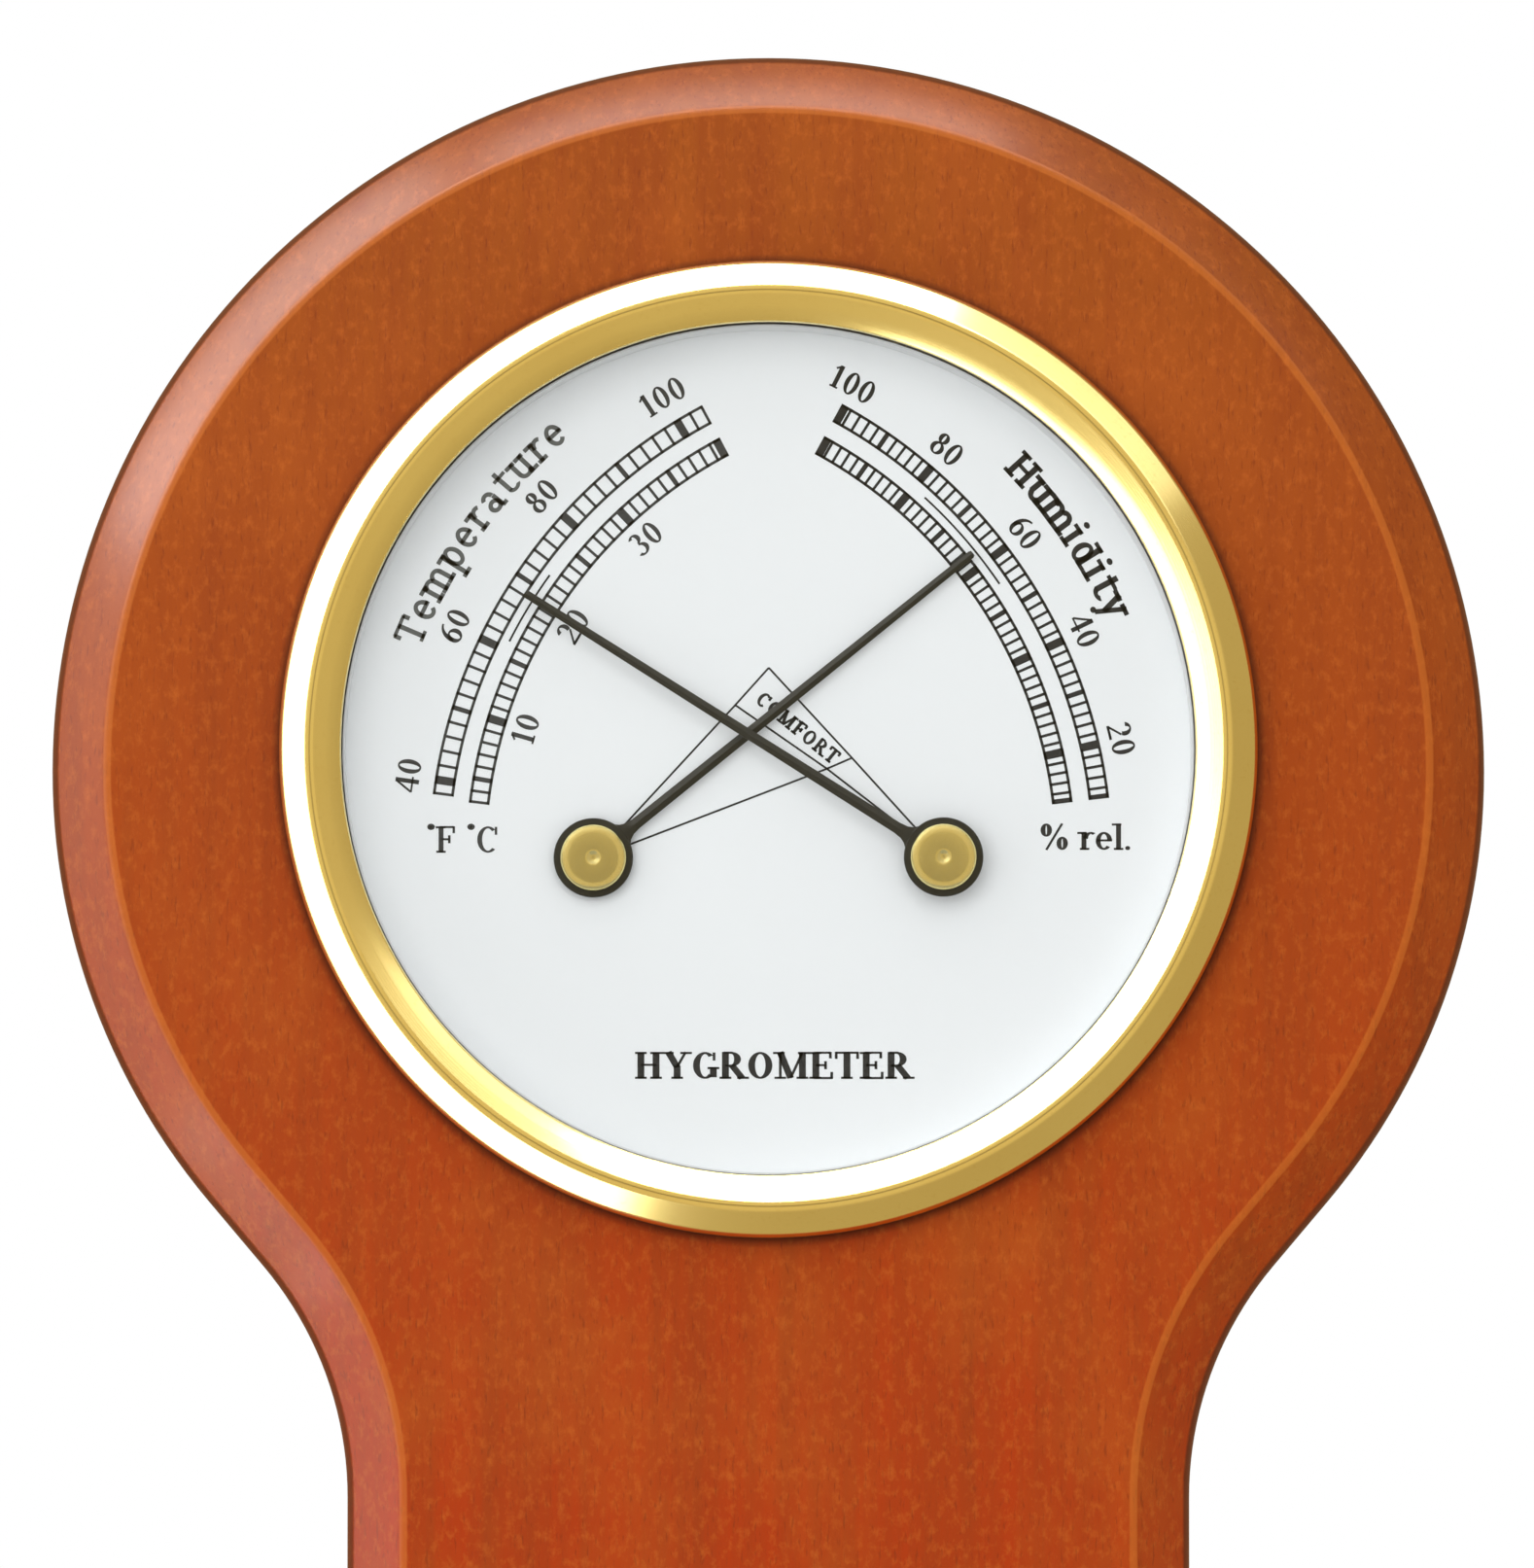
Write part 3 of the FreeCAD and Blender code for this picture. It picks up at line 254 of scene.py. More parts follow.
def new_material(name, colour, roughness, **sockets):
    """A Principled finish: its node tree, its shader and the material."""
    material = bpy.data.materials.new(name)
    material.use_nodes = True
    material.diffuse_color = (*colour, 1)
    shader = material.node_tree.nodes["Principled BSDF"]
    shader.inputs["Base Color"].default_value = (*colour, 1)
    shader.inputs["Roughness"].default_value = roughness
    for socket, value in sockets.items():
        shader.inputs[socket.replace("_", " ").title().replace("Ior", "IOR")].default_value = value
    return material.node_tree, shader, material


def new_group(name, inputs, outputs):
    """A node group with these input numbers and output numbers, and a vector input first."""
    group = bpy.data.node_groups.new(name, "ShaderNodeTree")
    group.interface.new_socket(name="Vector", in_out="INPUT", socket_type="NodeSocketVector")
    for socket, value in inputs.items():
        made = group.interface.new_socket(name=socket, in_out="INPUT", socket_type="NodeSocketFloat")
        made.default_value = value
    for socket in outputs:
        group.interface.new_socket(name=socket, in_out="OUTPUT", socket_type="NodeSocketFloat")
    return group, group.nodes.new("NodeGroupInput").outputs, group.nodes.new("NodeGroupOutput").inputs


def use_group(tree, group, *inputs):
    return node(tree, "ShaderNodeGroup", inputs, node_tree=group).outputs


def maths(tree, operation, first, second, **settings):
    return node(tree, "ShaderNodeMath", [(0, first), (1, second)], operation=operation, **settings).outputs[0]


def ramp(tree, value, *stops):
    """A colour ramp through (place, colour) stops."""
    made = node(tree, "ShaderNodeValToRGB", [("Fac", value)])
    elements = made.color_ramp.elements
    while len(elements) < len(stops):
        elements.new(0.5)
    for element, (place, colour) in zip(elements, stops):
        element.position, element.color = place, (*colour, 1)
    return made.outputs["Color"]


def mix(tree, factor, first, second):
    """Mixes two colours, given as links or as red, green and blue."""
    first, second = [(*colour, 1) if isinstance(colour, tuple) else colour for colour in (first, second)]
    return node(tree, "ShaderNodeMix", [(0, factor), (6, first), (7, second)], data_type="RGBA").outputs[2]


def spread(tree, value, low, high, start=0.0, end=1.0):
    """Maps start..end to low..high, and holds it there beyond."""
    return node(tree, "ShaderNodeMapRange", [("Value", value), ("From Min", start), ("From Max", end),
                                             ("To Min", low), ("To Max", high)]).outputs[0]


def noise(tree, place, scale, detail, roughness=0.5):
    """Cloudy noise, from 0 to 1. The scale is a number or a link, or one number for each axis."""
    if isinstance(scale, tuple):
        place = node(tree, "ShaderNodeMapping", [("Vector", place), ("Scale", scale)]).outputs[0]
        scale = 1.0
    return node(tree, "ShaderNodeTexNoise", [("Vector", place), ("Scale", scale), ("Detail", detail),
                                             ("Roughness", roughness)]).outputs[0]


def bump(tree, shader, height, strength, distance):
    """Feeds a height to the shader as a bump of so many millimetres."""
    made = node(tree, "ShaderNodeBump", [("Height", height), ("Strength", strength),
                                         ("Distance", distance * MM)])
    tree.links.new(made.outputs["Normal"], shader.inputs["Normal"])


def swap_for(tree, rays, shader, other):
    """Shows the other shader to the rays marked by this value."""
    both = node(tree, "ShaderNodeMixShader", [(0, rays), (1, shader.outputs[0]), (2, other)])
    tree.links.new(both.outputs[0], tree.nodes["Material Output"].inputs["Surface"])


def here(tree):
    return node(tree, "ShaderNodeTexCoord").outputs["Object"]


# %% [markdown]
# ## The room
# It is plain white to the eye. To everything else it is brightest round the camera, so that light
# reaches the bottom of the dial's well, with a small dark patch at the camera itself, so that the
# glass mirrors nothing. What gloss mirrors of it is warm, as from wooden furniture.

# %% Room
WARM = (1.0, 0.79, 0.42)
ROOM_LIGHT = ((0.45, 0.55), (0.85, 0.80), (0.993, 0.80), (0.9972, 0.06))      # (cosine of the lean, light)
world = bpy.data.worlds.new("white room")
bpy.context.scene.world = world
world.use_nodes = True
room = world.node_tree
way = node(room, "ShaderNodeTexCoord").outputs["Generated"]
ahead = maths(room, "MULTIPLY", node(room, "ShaderNodeSeparateXYZ", [(0, way)]).outputs["Y"], -1.0)
by_lean = ramp(room, ahead, *((place, (light,) * 3) for place, light in ROOM_LIGHT))
seen = node(room, "ShaderNodeLightPath").outputs
strength = spread(room, seen["Is Camera Ray"], by_lean, 1.0)
tint = ramp(room, seen["Is Glossy Ray"], (0, (1, 1, 1)), (1, WARM))
for socket, light in (("Strength", strength), ("Color", tint)):
    room.links.new(light, room.nodes["Background"].inputs[socket])
bpy.context.scene.view_settings.view_transform = "Standard"
print("room light by lean:", ROOM_LIGHT)


# %% Shared effects
def make_lathe_lines():
    """Fine rings round the Y axis of the given coordinates, as a turning tool or a buff leaves them."""
    group, given, out = new_group("lathe lines", {"Lines per mm": 6.0}, ["Lines"])
    parts = node(group, "ShaderNodeSeparateXYZ", [(0, given["Vector"])]).outputs
    flat = node(group, "ShaderNodeCombineXYZ", [("X", parts["X"]), ("Z", parts["Z"])]).outputs[0]
    reach = node(group, "ShaderNodeVectorMath", [(0, flat)], operation="LENGTH").outputs["Value"]
    scale = maths(group, "MULTIPLY", given["Lines per mm"], 1 / MM)
    lines = node(group, "ShaderNodeTexNoise", [("W", reach), ("Scale", scale), ("Detail", 2.0)],
                 noise_dimensions="1D").outputs[0]
    group.links.new(lines, out["Lines"])
    return group


def make_smudges():
    """Broad cloudy patches crossed by fine hairline scratches, from 0 to 1."""
    group, given, out = new_group("smudges", {"Patch size": 12.0, "Scratches": 0.4}, ["Mask"])
    size = maths(group, "DIVIDE", 1 / MM, given["Patch size"])
    patches = noise(group, given["Vector"], size, 4.0)
    long_way = node(group, "ShaderNodeMapping", [("Vector", given["Vector"]), ("Rotation", (0.4, 0.5, 0.9)),
                                                 ("Scale", (2600, 60, 2600))]).outputs[0]
    hairs = spread(group, noise(group, long_way, 1.0, 1.0), 0.0, 1.0, 0.62, 0.72)
    scaled = maths(group, "MULTIPLY", hairs, given["Scratches"])
    group.links.new(maths(group, "ADD", patches, scaled, use_clamp=True), out["Mask"])
    return group


def make_speckle():
    """An even fine grain, from 0 to 1, as in paint, rubber or a cast skin."""
    group, given, out = new_group("speckle", {"Grain size": 0.4}, ["Grain"])
    size = maths(group, "DIVIDE", 1 / MM, given["Grain size"])
    group.links.new(noise(group, given["Vector"], size, 3.0, 0.6), out["Grain"])
    return group


LATHE_LINES, SMUDGES, SPECKLE = make_lathe_lines(), make_smudges(), make_speckle()


def smudges(tree, place, patch, scratches):
    return use_group(tree, SMUDGES, ("Vector", place), ("Patch size", patch),
                     ("Scratches", scratches))["Mask"]


def grain(tree, place, size):
    return use_group(tree, SPECKLE, ("Vector", place), ("Grain size", size))["Grain"]


print("shared effects:", [group.name for group in (LATHE_LINES, SMUDGES, SPECKLE)])


# %% [markdown]
# ## The wooden plaque
# The real one is a board, stained like cherry, with a bevel run round its front and a satin
# lacquer over it. A section swept along the edge would also do, but here half of the outline is
# drawn with spins about the centres of its curves, mirrored, filled and inset: the bevel then has
# the same width everywhere, even round the hollow curves of the waist.

# %% Plaque outline
SHOULDER_SHIFT = 5.1          # shoulder arc's centre from the crown's
CROWN_DROP = 1.9              # crown's centre below the dial's axis
FLANK_ANGLE = 40.2            # the straight flank's lean
HOLLOW = 38.0                 # hollow curve between the flank and the neck
NECK = 44.5                   # half the neck's width
FOOT_CORNER = 10.0
CROWN = radius("plaque_board")
FOOT = (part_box("plaque_board")[0].z - DIAL_AXIS.z) / MM


def draw_arc(bm, vert, centre, degrees, steps):
    """Draws on from vert along an arc, clockwise as the plaque is read, and returns its end."""
    made = bmesh.ops.spin(bm, geom=[vert], cent=at(*centre, 0), axis=(0, 1, 0),
                          angle=math.radians(degrees), steps=steps, use_merge=False, use_duplicate=False)
    return only(made["geom_last"], bmesh.types.BMVert)[0]


def draw_line(bm, vert, x, z):
    made = bm.verts.new(at(x, z, 0))
    bm.edges.new((vert, made))
    return made


def plaque_outline():
    """The closed outline of the plaque, on the plane of its back."""
    lean = math.radians(FLANK_ANGLE)
    shoulder = CROWN - SHOULDER_SHIFT
    reach = SHOULDER_SHIFT * math.cos(lean) + shoulder + HOLLOW
    hollow_x = NECK + HOLLOW
    hollow_z = -CROWN_DROP - (reach - hollow_x * math.cos(lean)) / math.sin(lean)
    bm = bmesh.new()
    tip = bm.verts.new(at(0, CROWN - CROWN_DROP, 0))
    tip = draw_arc(bm, tip, (0, -CROWN_DROP), 90, 60)
    tip = draw_arc(bm, tip, (SHOULDER_SHIFT, -CROWN_DROP), FLANK_ANGLE, 26)
    tip = draw_line(bm, tip, hollow_x - HOLLOW * math.cos(lean), hollow_z + HOLLOW * math.sin(lean))
    tip = draw_arc(bm, tip, (hollow_x, hollow_z), -FLANK_ANGLE, 20)
    tip = draw_line(bm, tip, NECK, FOOT + FOOT_CORNER)
    tip = draw_arc(bm, tip, (NECK - FOOT_CORNER, FOOT + FOOT_CORNER), 90, 12)
    draw_line(bm, tip, 0, FOOT)
    middle = Matrix.Translation(at(0, 0, 0))
    bmesh.ops.mirror(bm, geom=bm.verts[:] + bm.edges[:], matrix=middle, axis="X", merge_dist=1e-6)
    return bm


outline = plaque_outline()
print("outline:", len(outline.edges), "edges")

# %% Plaque body
BEVEL_WIDTH, BEVEL_DEPTH = 6.0, 5.0
BEVEL_SWELL = 0.22            # how far the bevel's middle stands out of a flat one
OUTER_ARRIS, INNER_ARRIS, BACK_ARRIS = 1.1, 0.55, 0.8


def loop_at(bm, depth):
    """The edges whose ends both lie so far forward."""
    on = {v for v in bm.verts if abs(-v.co.y / MM - depth) < 1e-3}
    return [e for e in bm.edges if e.verts[0] in on and e.verts[1] in on]


def plaque_blank(bm):
    """The solid plaque with its bevel and softened edges, still without any hole."""
    bmesh.ops.contextual_create(bm, geom=bm.edges[:])
    face = bm.faces[:][0]
    top = only(bmesh.ops.extrude_face_region(bm, geom=[face])["geom"], bmesh.types.BMFace)[0]
    bmesh.ops.translate(bm, verts=top.verts[:], vec=(0, -(BOARD - BEVEL_DEPTH) * MM, 0))
    bmesh.ops.recalc_face_normals(bm, faces=bm.faces)
    for width, depth in ((0.5, 0.5 + BEVEL_SWELL / BEVEL_DEPTH), (0.5, 0.5 - BEVEL_SWELL / BEVEL_DEPTH)):
        bmesh.ops.inset_region(bm, faces=[top], thickness=width * BEVEL_WIDTH * MM,
                               depth=depth * BEVEL_DEPTH * MM, use_even_offset=True)
    arris = bm.verts.layers.float.new("arris")
    # Each edge's mark: the outer one is painted dark as shade, the inner one painted lighter, partly for
    # sanding that thins the stain and partly as a painted highlight, and the back one lighter for sanding.
    for depth, rounding, edge_wear_shade_and_highlight in ((BOARD - BEVEL_DEPTH, OUTER_ARRIS, -1.0), (BOARD, INNER_ARRIS, 1.0),
                                   (0, BACK_ARRIS, 0.5)):
        made = bmesh.ops.bevel(bm, geom=loop_at(bm, depth), offset=rounding * MM, segments=5,
                               profile=0.5, affect="EDGES", material=-1)
        fresh = set(made["faces"])
        for vert in made["verts"]:
            vert[arris] = edge_wear_shade_and_highlight * all(face in fresh for face in vert.link_faces)
    return bm


blank = plaque_blank(outline)
print("blank:", len(blank.faces), "faces")

# %% [markdown]
# The front and the back of the blank are single faces. They are taken out and filled again round
# the holes: the bore that takes the instrument, and on the back the shallow recess of the hanger.

# %% Plaque holes
HANGER_LOW, HANGER_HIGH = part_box("hanger_plate")
SEAT_GAP = 0.05
RECESS_DEPTH = level("hanger_plate", "front")
ENTRY, SLOT_RISE, POCKET_ROOM, POCKET_DEPTH = 4.5, 5.5, 0.5, 6.5
BORE = radius("mounting_band") + SEAT_GAP
RIM = radius("bezel_ring")


def draw_slot(bm, low, high, half, depth, steps=14):
    """A closed outline with two round ends whose centres are low and high."""
    along = Vector((high[0] - low[0], high[1] - low[1])).normalized() * half
    ends = []
    for centre, sign in ((low, 1), (high, -1)):
        start = bm.verts.new(at(centre[0] + sign * along.y, centre[1] - sign * along.x, depth))
        ends.append((start, draw_arc(bm, start, centre, 180, steps)))
    for (_, end), (start, _) in zip(ends, ends[::-1]):
        bm.edges.new((end, start))


def draw_circle(bm, centre, size, depth, segments=96):
    lying = Matrix.Translation(at(*centre, depth)) @ Matrix.Rotation(math.pi / 2, 4, "X")
    bmesh.ops.create_circle(bm, cap_ends=False, radius=size * MM, segments=segments, matrix=lying)


def fill_between(bm, depth, *holes):
    """Fills the plane at this depth between its open edges and the holes that are drawn on it."""
    known = set(bm.edges)
    for draw, *details in holes:
        draw(bm, *details)
    drawn = [e for e in bm.edges if e not in known]
    open_edges = [e for e in loop_at(bm, depth) if e.is_boundary or e in drawn]
    bmesh.ops.triangle_fill(bm, edges=open_edges, use_beauty=True, use_dissolve=False, normal=(0, -1, 0))
    return drawn


def sink(bm, edges, depth):
    """Runs walls from these edges to another depth."""
    grown = bmesh.ops.extrude_edge_only(bm, edges=edges)["geom"]
    for vert in only(grown, bmesh.types.BMVert):
        vert.co.y = -depth * MM
    return only(grown, bmesh.types.BMEdge)


def plaque_holes(bm):
    flats = [f for f in bm.faces if abs(f.normal.y) > 0.999 and len(f.verts) > 20]
    bmesh.ops.delete(bm, geom=flats, context="FACES_ONLY")
    rise = (HANGER_LOW.z + HANGER_HIGH.z) / 2 / MM - DIAL_AXIS.z / MM
    half_height = (HANGER_HIGH.z - HANGER_LOW.z) / 2 / MM + SEAT_GAP
    half_length = HANGER_HIGH.x / MM + SEAT_GAP - half_height
    fill_between(bm, BOARD, (draw_circle, (0, 0), BORE, BOARD))
    bore_front = [e for e in loop_at(bm, BOARD) if e.is_boundary]
    bore_back = sink(bm, bore_front, 0)
    drawn = fill_between(bm, 0, (draw_slot, (-half_length, rise), (half_length, rise), half_height, 0))
    recess_edge = [e for e in drawn if e.is_valid and e.is_boundary]
    sink(bm, recess_edge, RECESS_DEPTH)
    entry_z = -DIAL_AXIS.z / MM
    pocket = fill_between(bm, RECESS_DEPTH, (draw_slot, (0, entry_z), (0, entry_z + SLOT_RISE),
                                             ENTRY + POCKET_ROOM, RECESS_DEPTH))
    sink(bm, [e for e in pocket if e.is_boundary], RECESS_DEPTH + POCKET_DEPTH)
    fill_between(bm, RECESS_DEPTH + POCKET_DEPTH)
    print("bore:", len(bore_back), "edges")
    return bm


board_mesh = plaque_holes(blank)

# %% [markdown]
# Stained wood under satin lacquer has several scales: faint bands along the board, a cloudy stain,
# a tone that turns a deeper red towards the foot, short dark pores that run with the grain and a
# fine mottle. The lacquer is a clear coat with a faint orange peel, rubbed down on the front. The
# mesh carries a mask for its edges: the inner one is painted lighter, partly for sanding that thins
# the stain and partly as a painted highlight, and the outer one is painted dark as shade. A narrow
# dark line of painted shade runs on the wood round the bezel.

# %% Stained wood
LACQUER = 0.36


def make_cherry_wood():
    tree, shader, material = new_material("cherry_stained_wood", (0.40, 0.078, 0.008), 0.50,
                                          specular_ior_level=0.05, coat_weight=LACQUER,
                                          coat_roughness=0.22)
    place = here(tree)

    def part_of(value, low, high, most):
        return spread(tree, value, 0.0, most, low, high)

    axes = node(tree, "ShaderNodeSeparateXYZ", [(0, place)]).outputs
    lacquer = spread(tree, axes["Y"], 0.08, LACQUER, -BOARD * MM, -(BOARD - 0.5) * MM)
    tree.links.new(lacquer, shader.inputs["Coat Weight"])
    # The tone turns a deeper red from above the dial down to the foot.
    depth = part_of(axes["Z"], DIAL_AXIS.z + 0.05, cad_low.z + 0.01, 1.0)
    tone = mix(tree, depth, (0.350, 0.073, 0.0040), (0.435, 0.036, 0.0003))
    pores = noise(tree, place, (2600, 2600, 520), 2, 0.6)
    dark_pores = part_of(pores, 0.585, 0.70, 0.45)
    centred = node(tree, "ShaderNodeMapping", [("Vector", place), ("Location", -at(0, 0, 0)),
                                               ("Scale", (1, 0, 1))]).outputs[0]
    reach = node(tree, "ShaderNodeVectorMath", [(0, centred)], operation="LENGTH").outputs["Value"]
    # the edge mask: sanding wear, a painted highlight on the inner edge and painted shade on the outer edge
    edge_wear_shade_highlight_mask = node(tree, "ShaderNodeAttribute", attribute_name="arris").outputs["Fac"]
    for mask, colour in (       # bands, clouds, mottle, pores, painted shade round the bezel, the sanded edge with a painted highlight, painted shade on the outer edge
            (part_of(noise(tree, place, (330, 330, 14), 4, 0.6), 0.42, 0.72, 0.60), (0.285, 0.046, 0.0035)),
            (part_of(noise(tree, place, (60, 60, 42), 5, 0.6), 0.46, 0.72, 0.55), (0.46, 0.098, 0.008)),
            (part_of(noise(tree, place, (900, 900, 620), 3, 0.7), 0.50, 0.72, 0.45), (0.58, 0.135, 0.014)),
            (dark_pores, (0.19, 0.028, 0.002)),
            # painted shade: a narrow dark line on the wood round the bezel
            (part_of(reach, (RIM + 1.0) * MM, RIM * MM, 0.80), (0.045, 0.010, 0.002)),
            # the sanded edge, painted lighter, partly as a painted highlight along the inner edge
            (part_of(edge_wear_shade_highlight_mask, 0.0, 1.0, 0.42), (0.66, 0.180, 0.025)),
            # painted shade: the board's outer edge darkened
            (part_of(edge_wear_shade_highlight_mask, 0.0, -1.0, 0.75), (0.09, 0.014, 0.001))):
        tone = mix(tree, mask, tone, colour)
    tree.links.new(tone, shader.inputs["Base Color"])
    tree.links.new(spread(tree, pores, 0.42, 0.58), shader.inputs["Roughness"])
    bump(tree, shader, maths(tree, "SUBTRACT", grain(tree, place, 0.7), dark_pores), 0.45, 0.06)
    return material


CHERRY_WOOD = make_cherry_wood()
finish(board_mesh, "plaque", "plaque", CHERRY_WOOD, stands_for=["plaque_board"])

# %% [markdown]
# ## The brass bezel
# A spun brass ring: its edge stands upright on the wood, swells to a rounded crest and falls to a
# lip that presses the glass down. One profile with rounded corners, spun once round, gives all of it.
# To the matt wood and the dial the brass counts as dull, or its bright glints would speckle them.

# %% Bezel
CREST = level("bezel_ring", "front")
GLASS = level("glass_lens", "front")
LENS = radius("glass_lens")
SHEET = 0.75
CREST_RADIUS = RIM - 3.1
LIP = radius("case_shell") - 5.2
SLOPE_FOOT, SLOPE_RISE = 1.1, 0.70        # where the inner slope starts, from the lip's edge and top
HOOK = RIM - 2.9
LIP_LEVEL = GLASS + SEAT_GAP
SHOULDER = CREST - 2.3        # top of the upright edge


def make_spun_brass(name, colour, lines_per_mm, centre, roughness, lacquer):
    """Turned or spun brass: fine rings, cloudy gloss and so much clear lacquer over it."""
    tree, shader, material = new_material(name, colour, roughness[0], metallic=1.0, coat_weight=lacquer,
                                          coat_roughness=0.12)
    centred = node(tree, "ShaderNodeMapping", [("Vector", here(tree)),
                                               ("Location", -at(*centre, 0))]).outputs[0]
    lines = use_group(tree, LATHE_LINES, ("Vector", centred), ("Lines per mm", lines_per_mm))["Lines"]
    mask = smudges(tree, centred, 14.0, 0.25)
    tree.links.new(spread(tree, mask, *roughness), shader.inputs["Roughness"])
    deep = tuple(c * k for c, k in zip(colour, (0.90, 0.84, 0.70)))
    tree.links.new(mix(tree, mask, colour, deep), shader.inputs["Base Color"])
    bump(tree, shader, lines, 0.25, 0.01)
    dull = node(tree, "ShaderNodeBsdfDiffuse", [("Color", (0.30, 0.16, 0.05, 1))]).outputs[0]
    swap_for(tree, node(tree, "ShaderNodeLightPath").outputs["Is Diffuse Ray"], shader, dull)
    return material


BEZEL_BRASS = make_spun_brass("polished_brass", (0.90, 0.77, 0.34), 5.0, (0, 0), (0.16, 0.24), 0.5)
bezel_profile = [
    (RIM, BOARD, 0.12), (RIM, SHOULDER, 0.6), (CREST_RADIUS, CREST, 0.7),
    (LIP + SLOPE_FOOT, LIP_LEVEL + SHEET + SLOPE_RISE, 0.6), (LIP, LIP_LEVEL + SHEET, 0.3),
    (LIP, LIP_LEVEL, 0.2), (LIP + 1.2, LIP_LEVEL, 0), (CREST_RADIUS, CREST - SHEET, 1.0),
    (RIM - SHEET, SHOULDER - 0.4, 0.6), (RIM - SHEET, BOARD + SHEET, 0),
    (HOOK, BOARD + SHEET, 0.1), (HOOK, BOARD, 0.1)]
finish(turned(bezel_profile, steps=256, segments=8), "bezel", "plaque", BEZEL_BRASS,
       stands_for=["bezel_ring"], crease=50)

# %% [markdown]
# ## The glass
# A flat disc of clear glass with ground edges. Light that casts shadows passes it freely, so that
# the dial behind it is lit as through real glass, and its gloss stays.

# %% Glass
def make_clear_glass():
    tree, shader, material = new_material("clear_glass", (1, 1, 1), 0.0, transmission_weight=1.0, ior=1.5)
    light_path = node(tree, "ShaderNodeLightPath").outputs
    passes = maths(tree, "MAXIMUM", light_path["Is Shadow Ray"], light_path["Is Diffuse Ray"])
    clear = node(tree, "ShaderNodeBsdfTransparent", [("Color", (0.96, 0.97, 0.97, 1))]).outputs[0]
    swap_for(tree, passes, shader, clear)
    return material


glass_back = level("glass_lens", "back")
finish(turned([(0, glass_back, 0), (LENS, glass_back, 0.15), (LENS, GLASS, 0.15), (0, GLASS, 0)],
              closed=False, steps=128, segments=2),
       "glass", "plaque", make_clear_glass(), stands_for=["glass_lens"])

# %% [markdown]
# ## The dial
# A thin sheet painted cool white, with a hole for each arbor. A white ring stands round it and holds
# it down.

# %% Dial
DIAL_BACK = level("dial_plate", "back")
DIAL_RADIUS = radius("dial_plate")
ARBOR_HOLE = 1.7


def make_painted(name, colour, roughness, grain_size=0.25, strength=0.12, **sockets):
    """A painted or moulded skin: nearly one colour, with a fine even grain."""
    tree, shader, material = new_material(name, colour, roughness, **sockets)
    place = here(tree)
    fine = grain(tree, place, grain_size)
    soft = tuple(c * 0.95 for c in colour)
    tree.links.new(mix(tree, smudges(tree, place, 30.0, 0.0), colour, soft), shader.inputs["Base Color"])
    uneven = spread(tree, fine, roughness * 0.85, min(1.0, roughness * 1.15))
    tree.links.new(uneven, shader.inputs["Roughness"])
    bump(tree, shader, fine, strength, 0.02)
    return material


def thicken(bm, thickness):
    """Gives flat shapes a thickness, towards the reader."""
    grown = bmesh.ops.extrude_face_region(bm, geom=bm.faces[:])["geom"]
    bmesh.ops.translate(bm, verts=only(grown, bmesh.types.BMVert), vec=(0, -thickness * MM, 0))


dial = bmesh.new()
draw_circle(dial, (0, 0), DIAL_RADIUS, DIAL_BACK, 160)
for side in SIDES:
    draw_circle(dial, pivot(side), ARBOR_HOLE, DIAL_BACK, 32)
bmesh.ops.triangle_fill(dial, edges=dial.edges[:], use_beauty=True, normal=(0, -1, 0))
thicken(dial, DIAL - DIAL_BACK)
DIAL_WHITE = make_painted("dial_white_paint", (0.90, 0.92, 0.935), 0.5)
finish(dial, "dial", "plaque", DIAL_WHITE, stands_for=["dial_plate"])

spacer_out, spacer_front = radius("dial_spacer_ring"), level("dial_spacer_ring", "front")
spacer_in = spacer_out - 0.65
RING_WHITE = make_painted("ring_white_paint", (0.80, 0.81, 0.82), 0.45)
finish(turned([(spacer_out, DIAL, 0.08), (spacer_out, spacer_front, 0.08), (spacer_in, spacer_front, 0.12),
               (spacer_in, DIAL, 0.12)], segments=3), "spacer_ring", "plaque", RING_WHITE,
       stands_for=["dial_spacer_ring"])

# %% [markdown]
# ## Printing on the dial
# The print is a film of ink three hundredths of a millimetre thick. It is made as flat shapes that
# are given that thickness: bars, ring segments and, for the letters, bowls between two ellipses.

# %% Ink tools
INK_FILM = 0.03


def onto(x, z, forward, turn):
    """From drawing coordinates (X right, Y up, millimetres) to a plane so far forward."""
    return (Matrix.Translation(at(x, z, forward)) @ Matrix.Scale(MM, 4) @ Matrix.Rotation(math.pi / 2, 4, "X")
            @ Matrix.Rotation(math.radians(turn), 4, "Z"))


def place_ink(bm, verts, turn, x, z):
    bmesh.ops.transform(bm, matrix=onto(x, z, DIAL, turn), verts=verts)


def draw_bar(bm, x0, y0, x1, y1, width):
    """A straight bar between two points of the drawing."""
    near, far = Vector((x0, y0, 0)), Vector((x1, y1, 0))
    along = far - near
    shape = (Matrix.Translation((near + far) / 2) @ Matrix.Rotation(math.atan2(along.y, along.x), 4, "Z")
             @ Matrix.Diagonal((along.length, width, 1, 1)))
    return bmesh.ops.create_grid(bm, x_segments=1, y_segments=1, size=0.5, matrix=shape)["verts"]


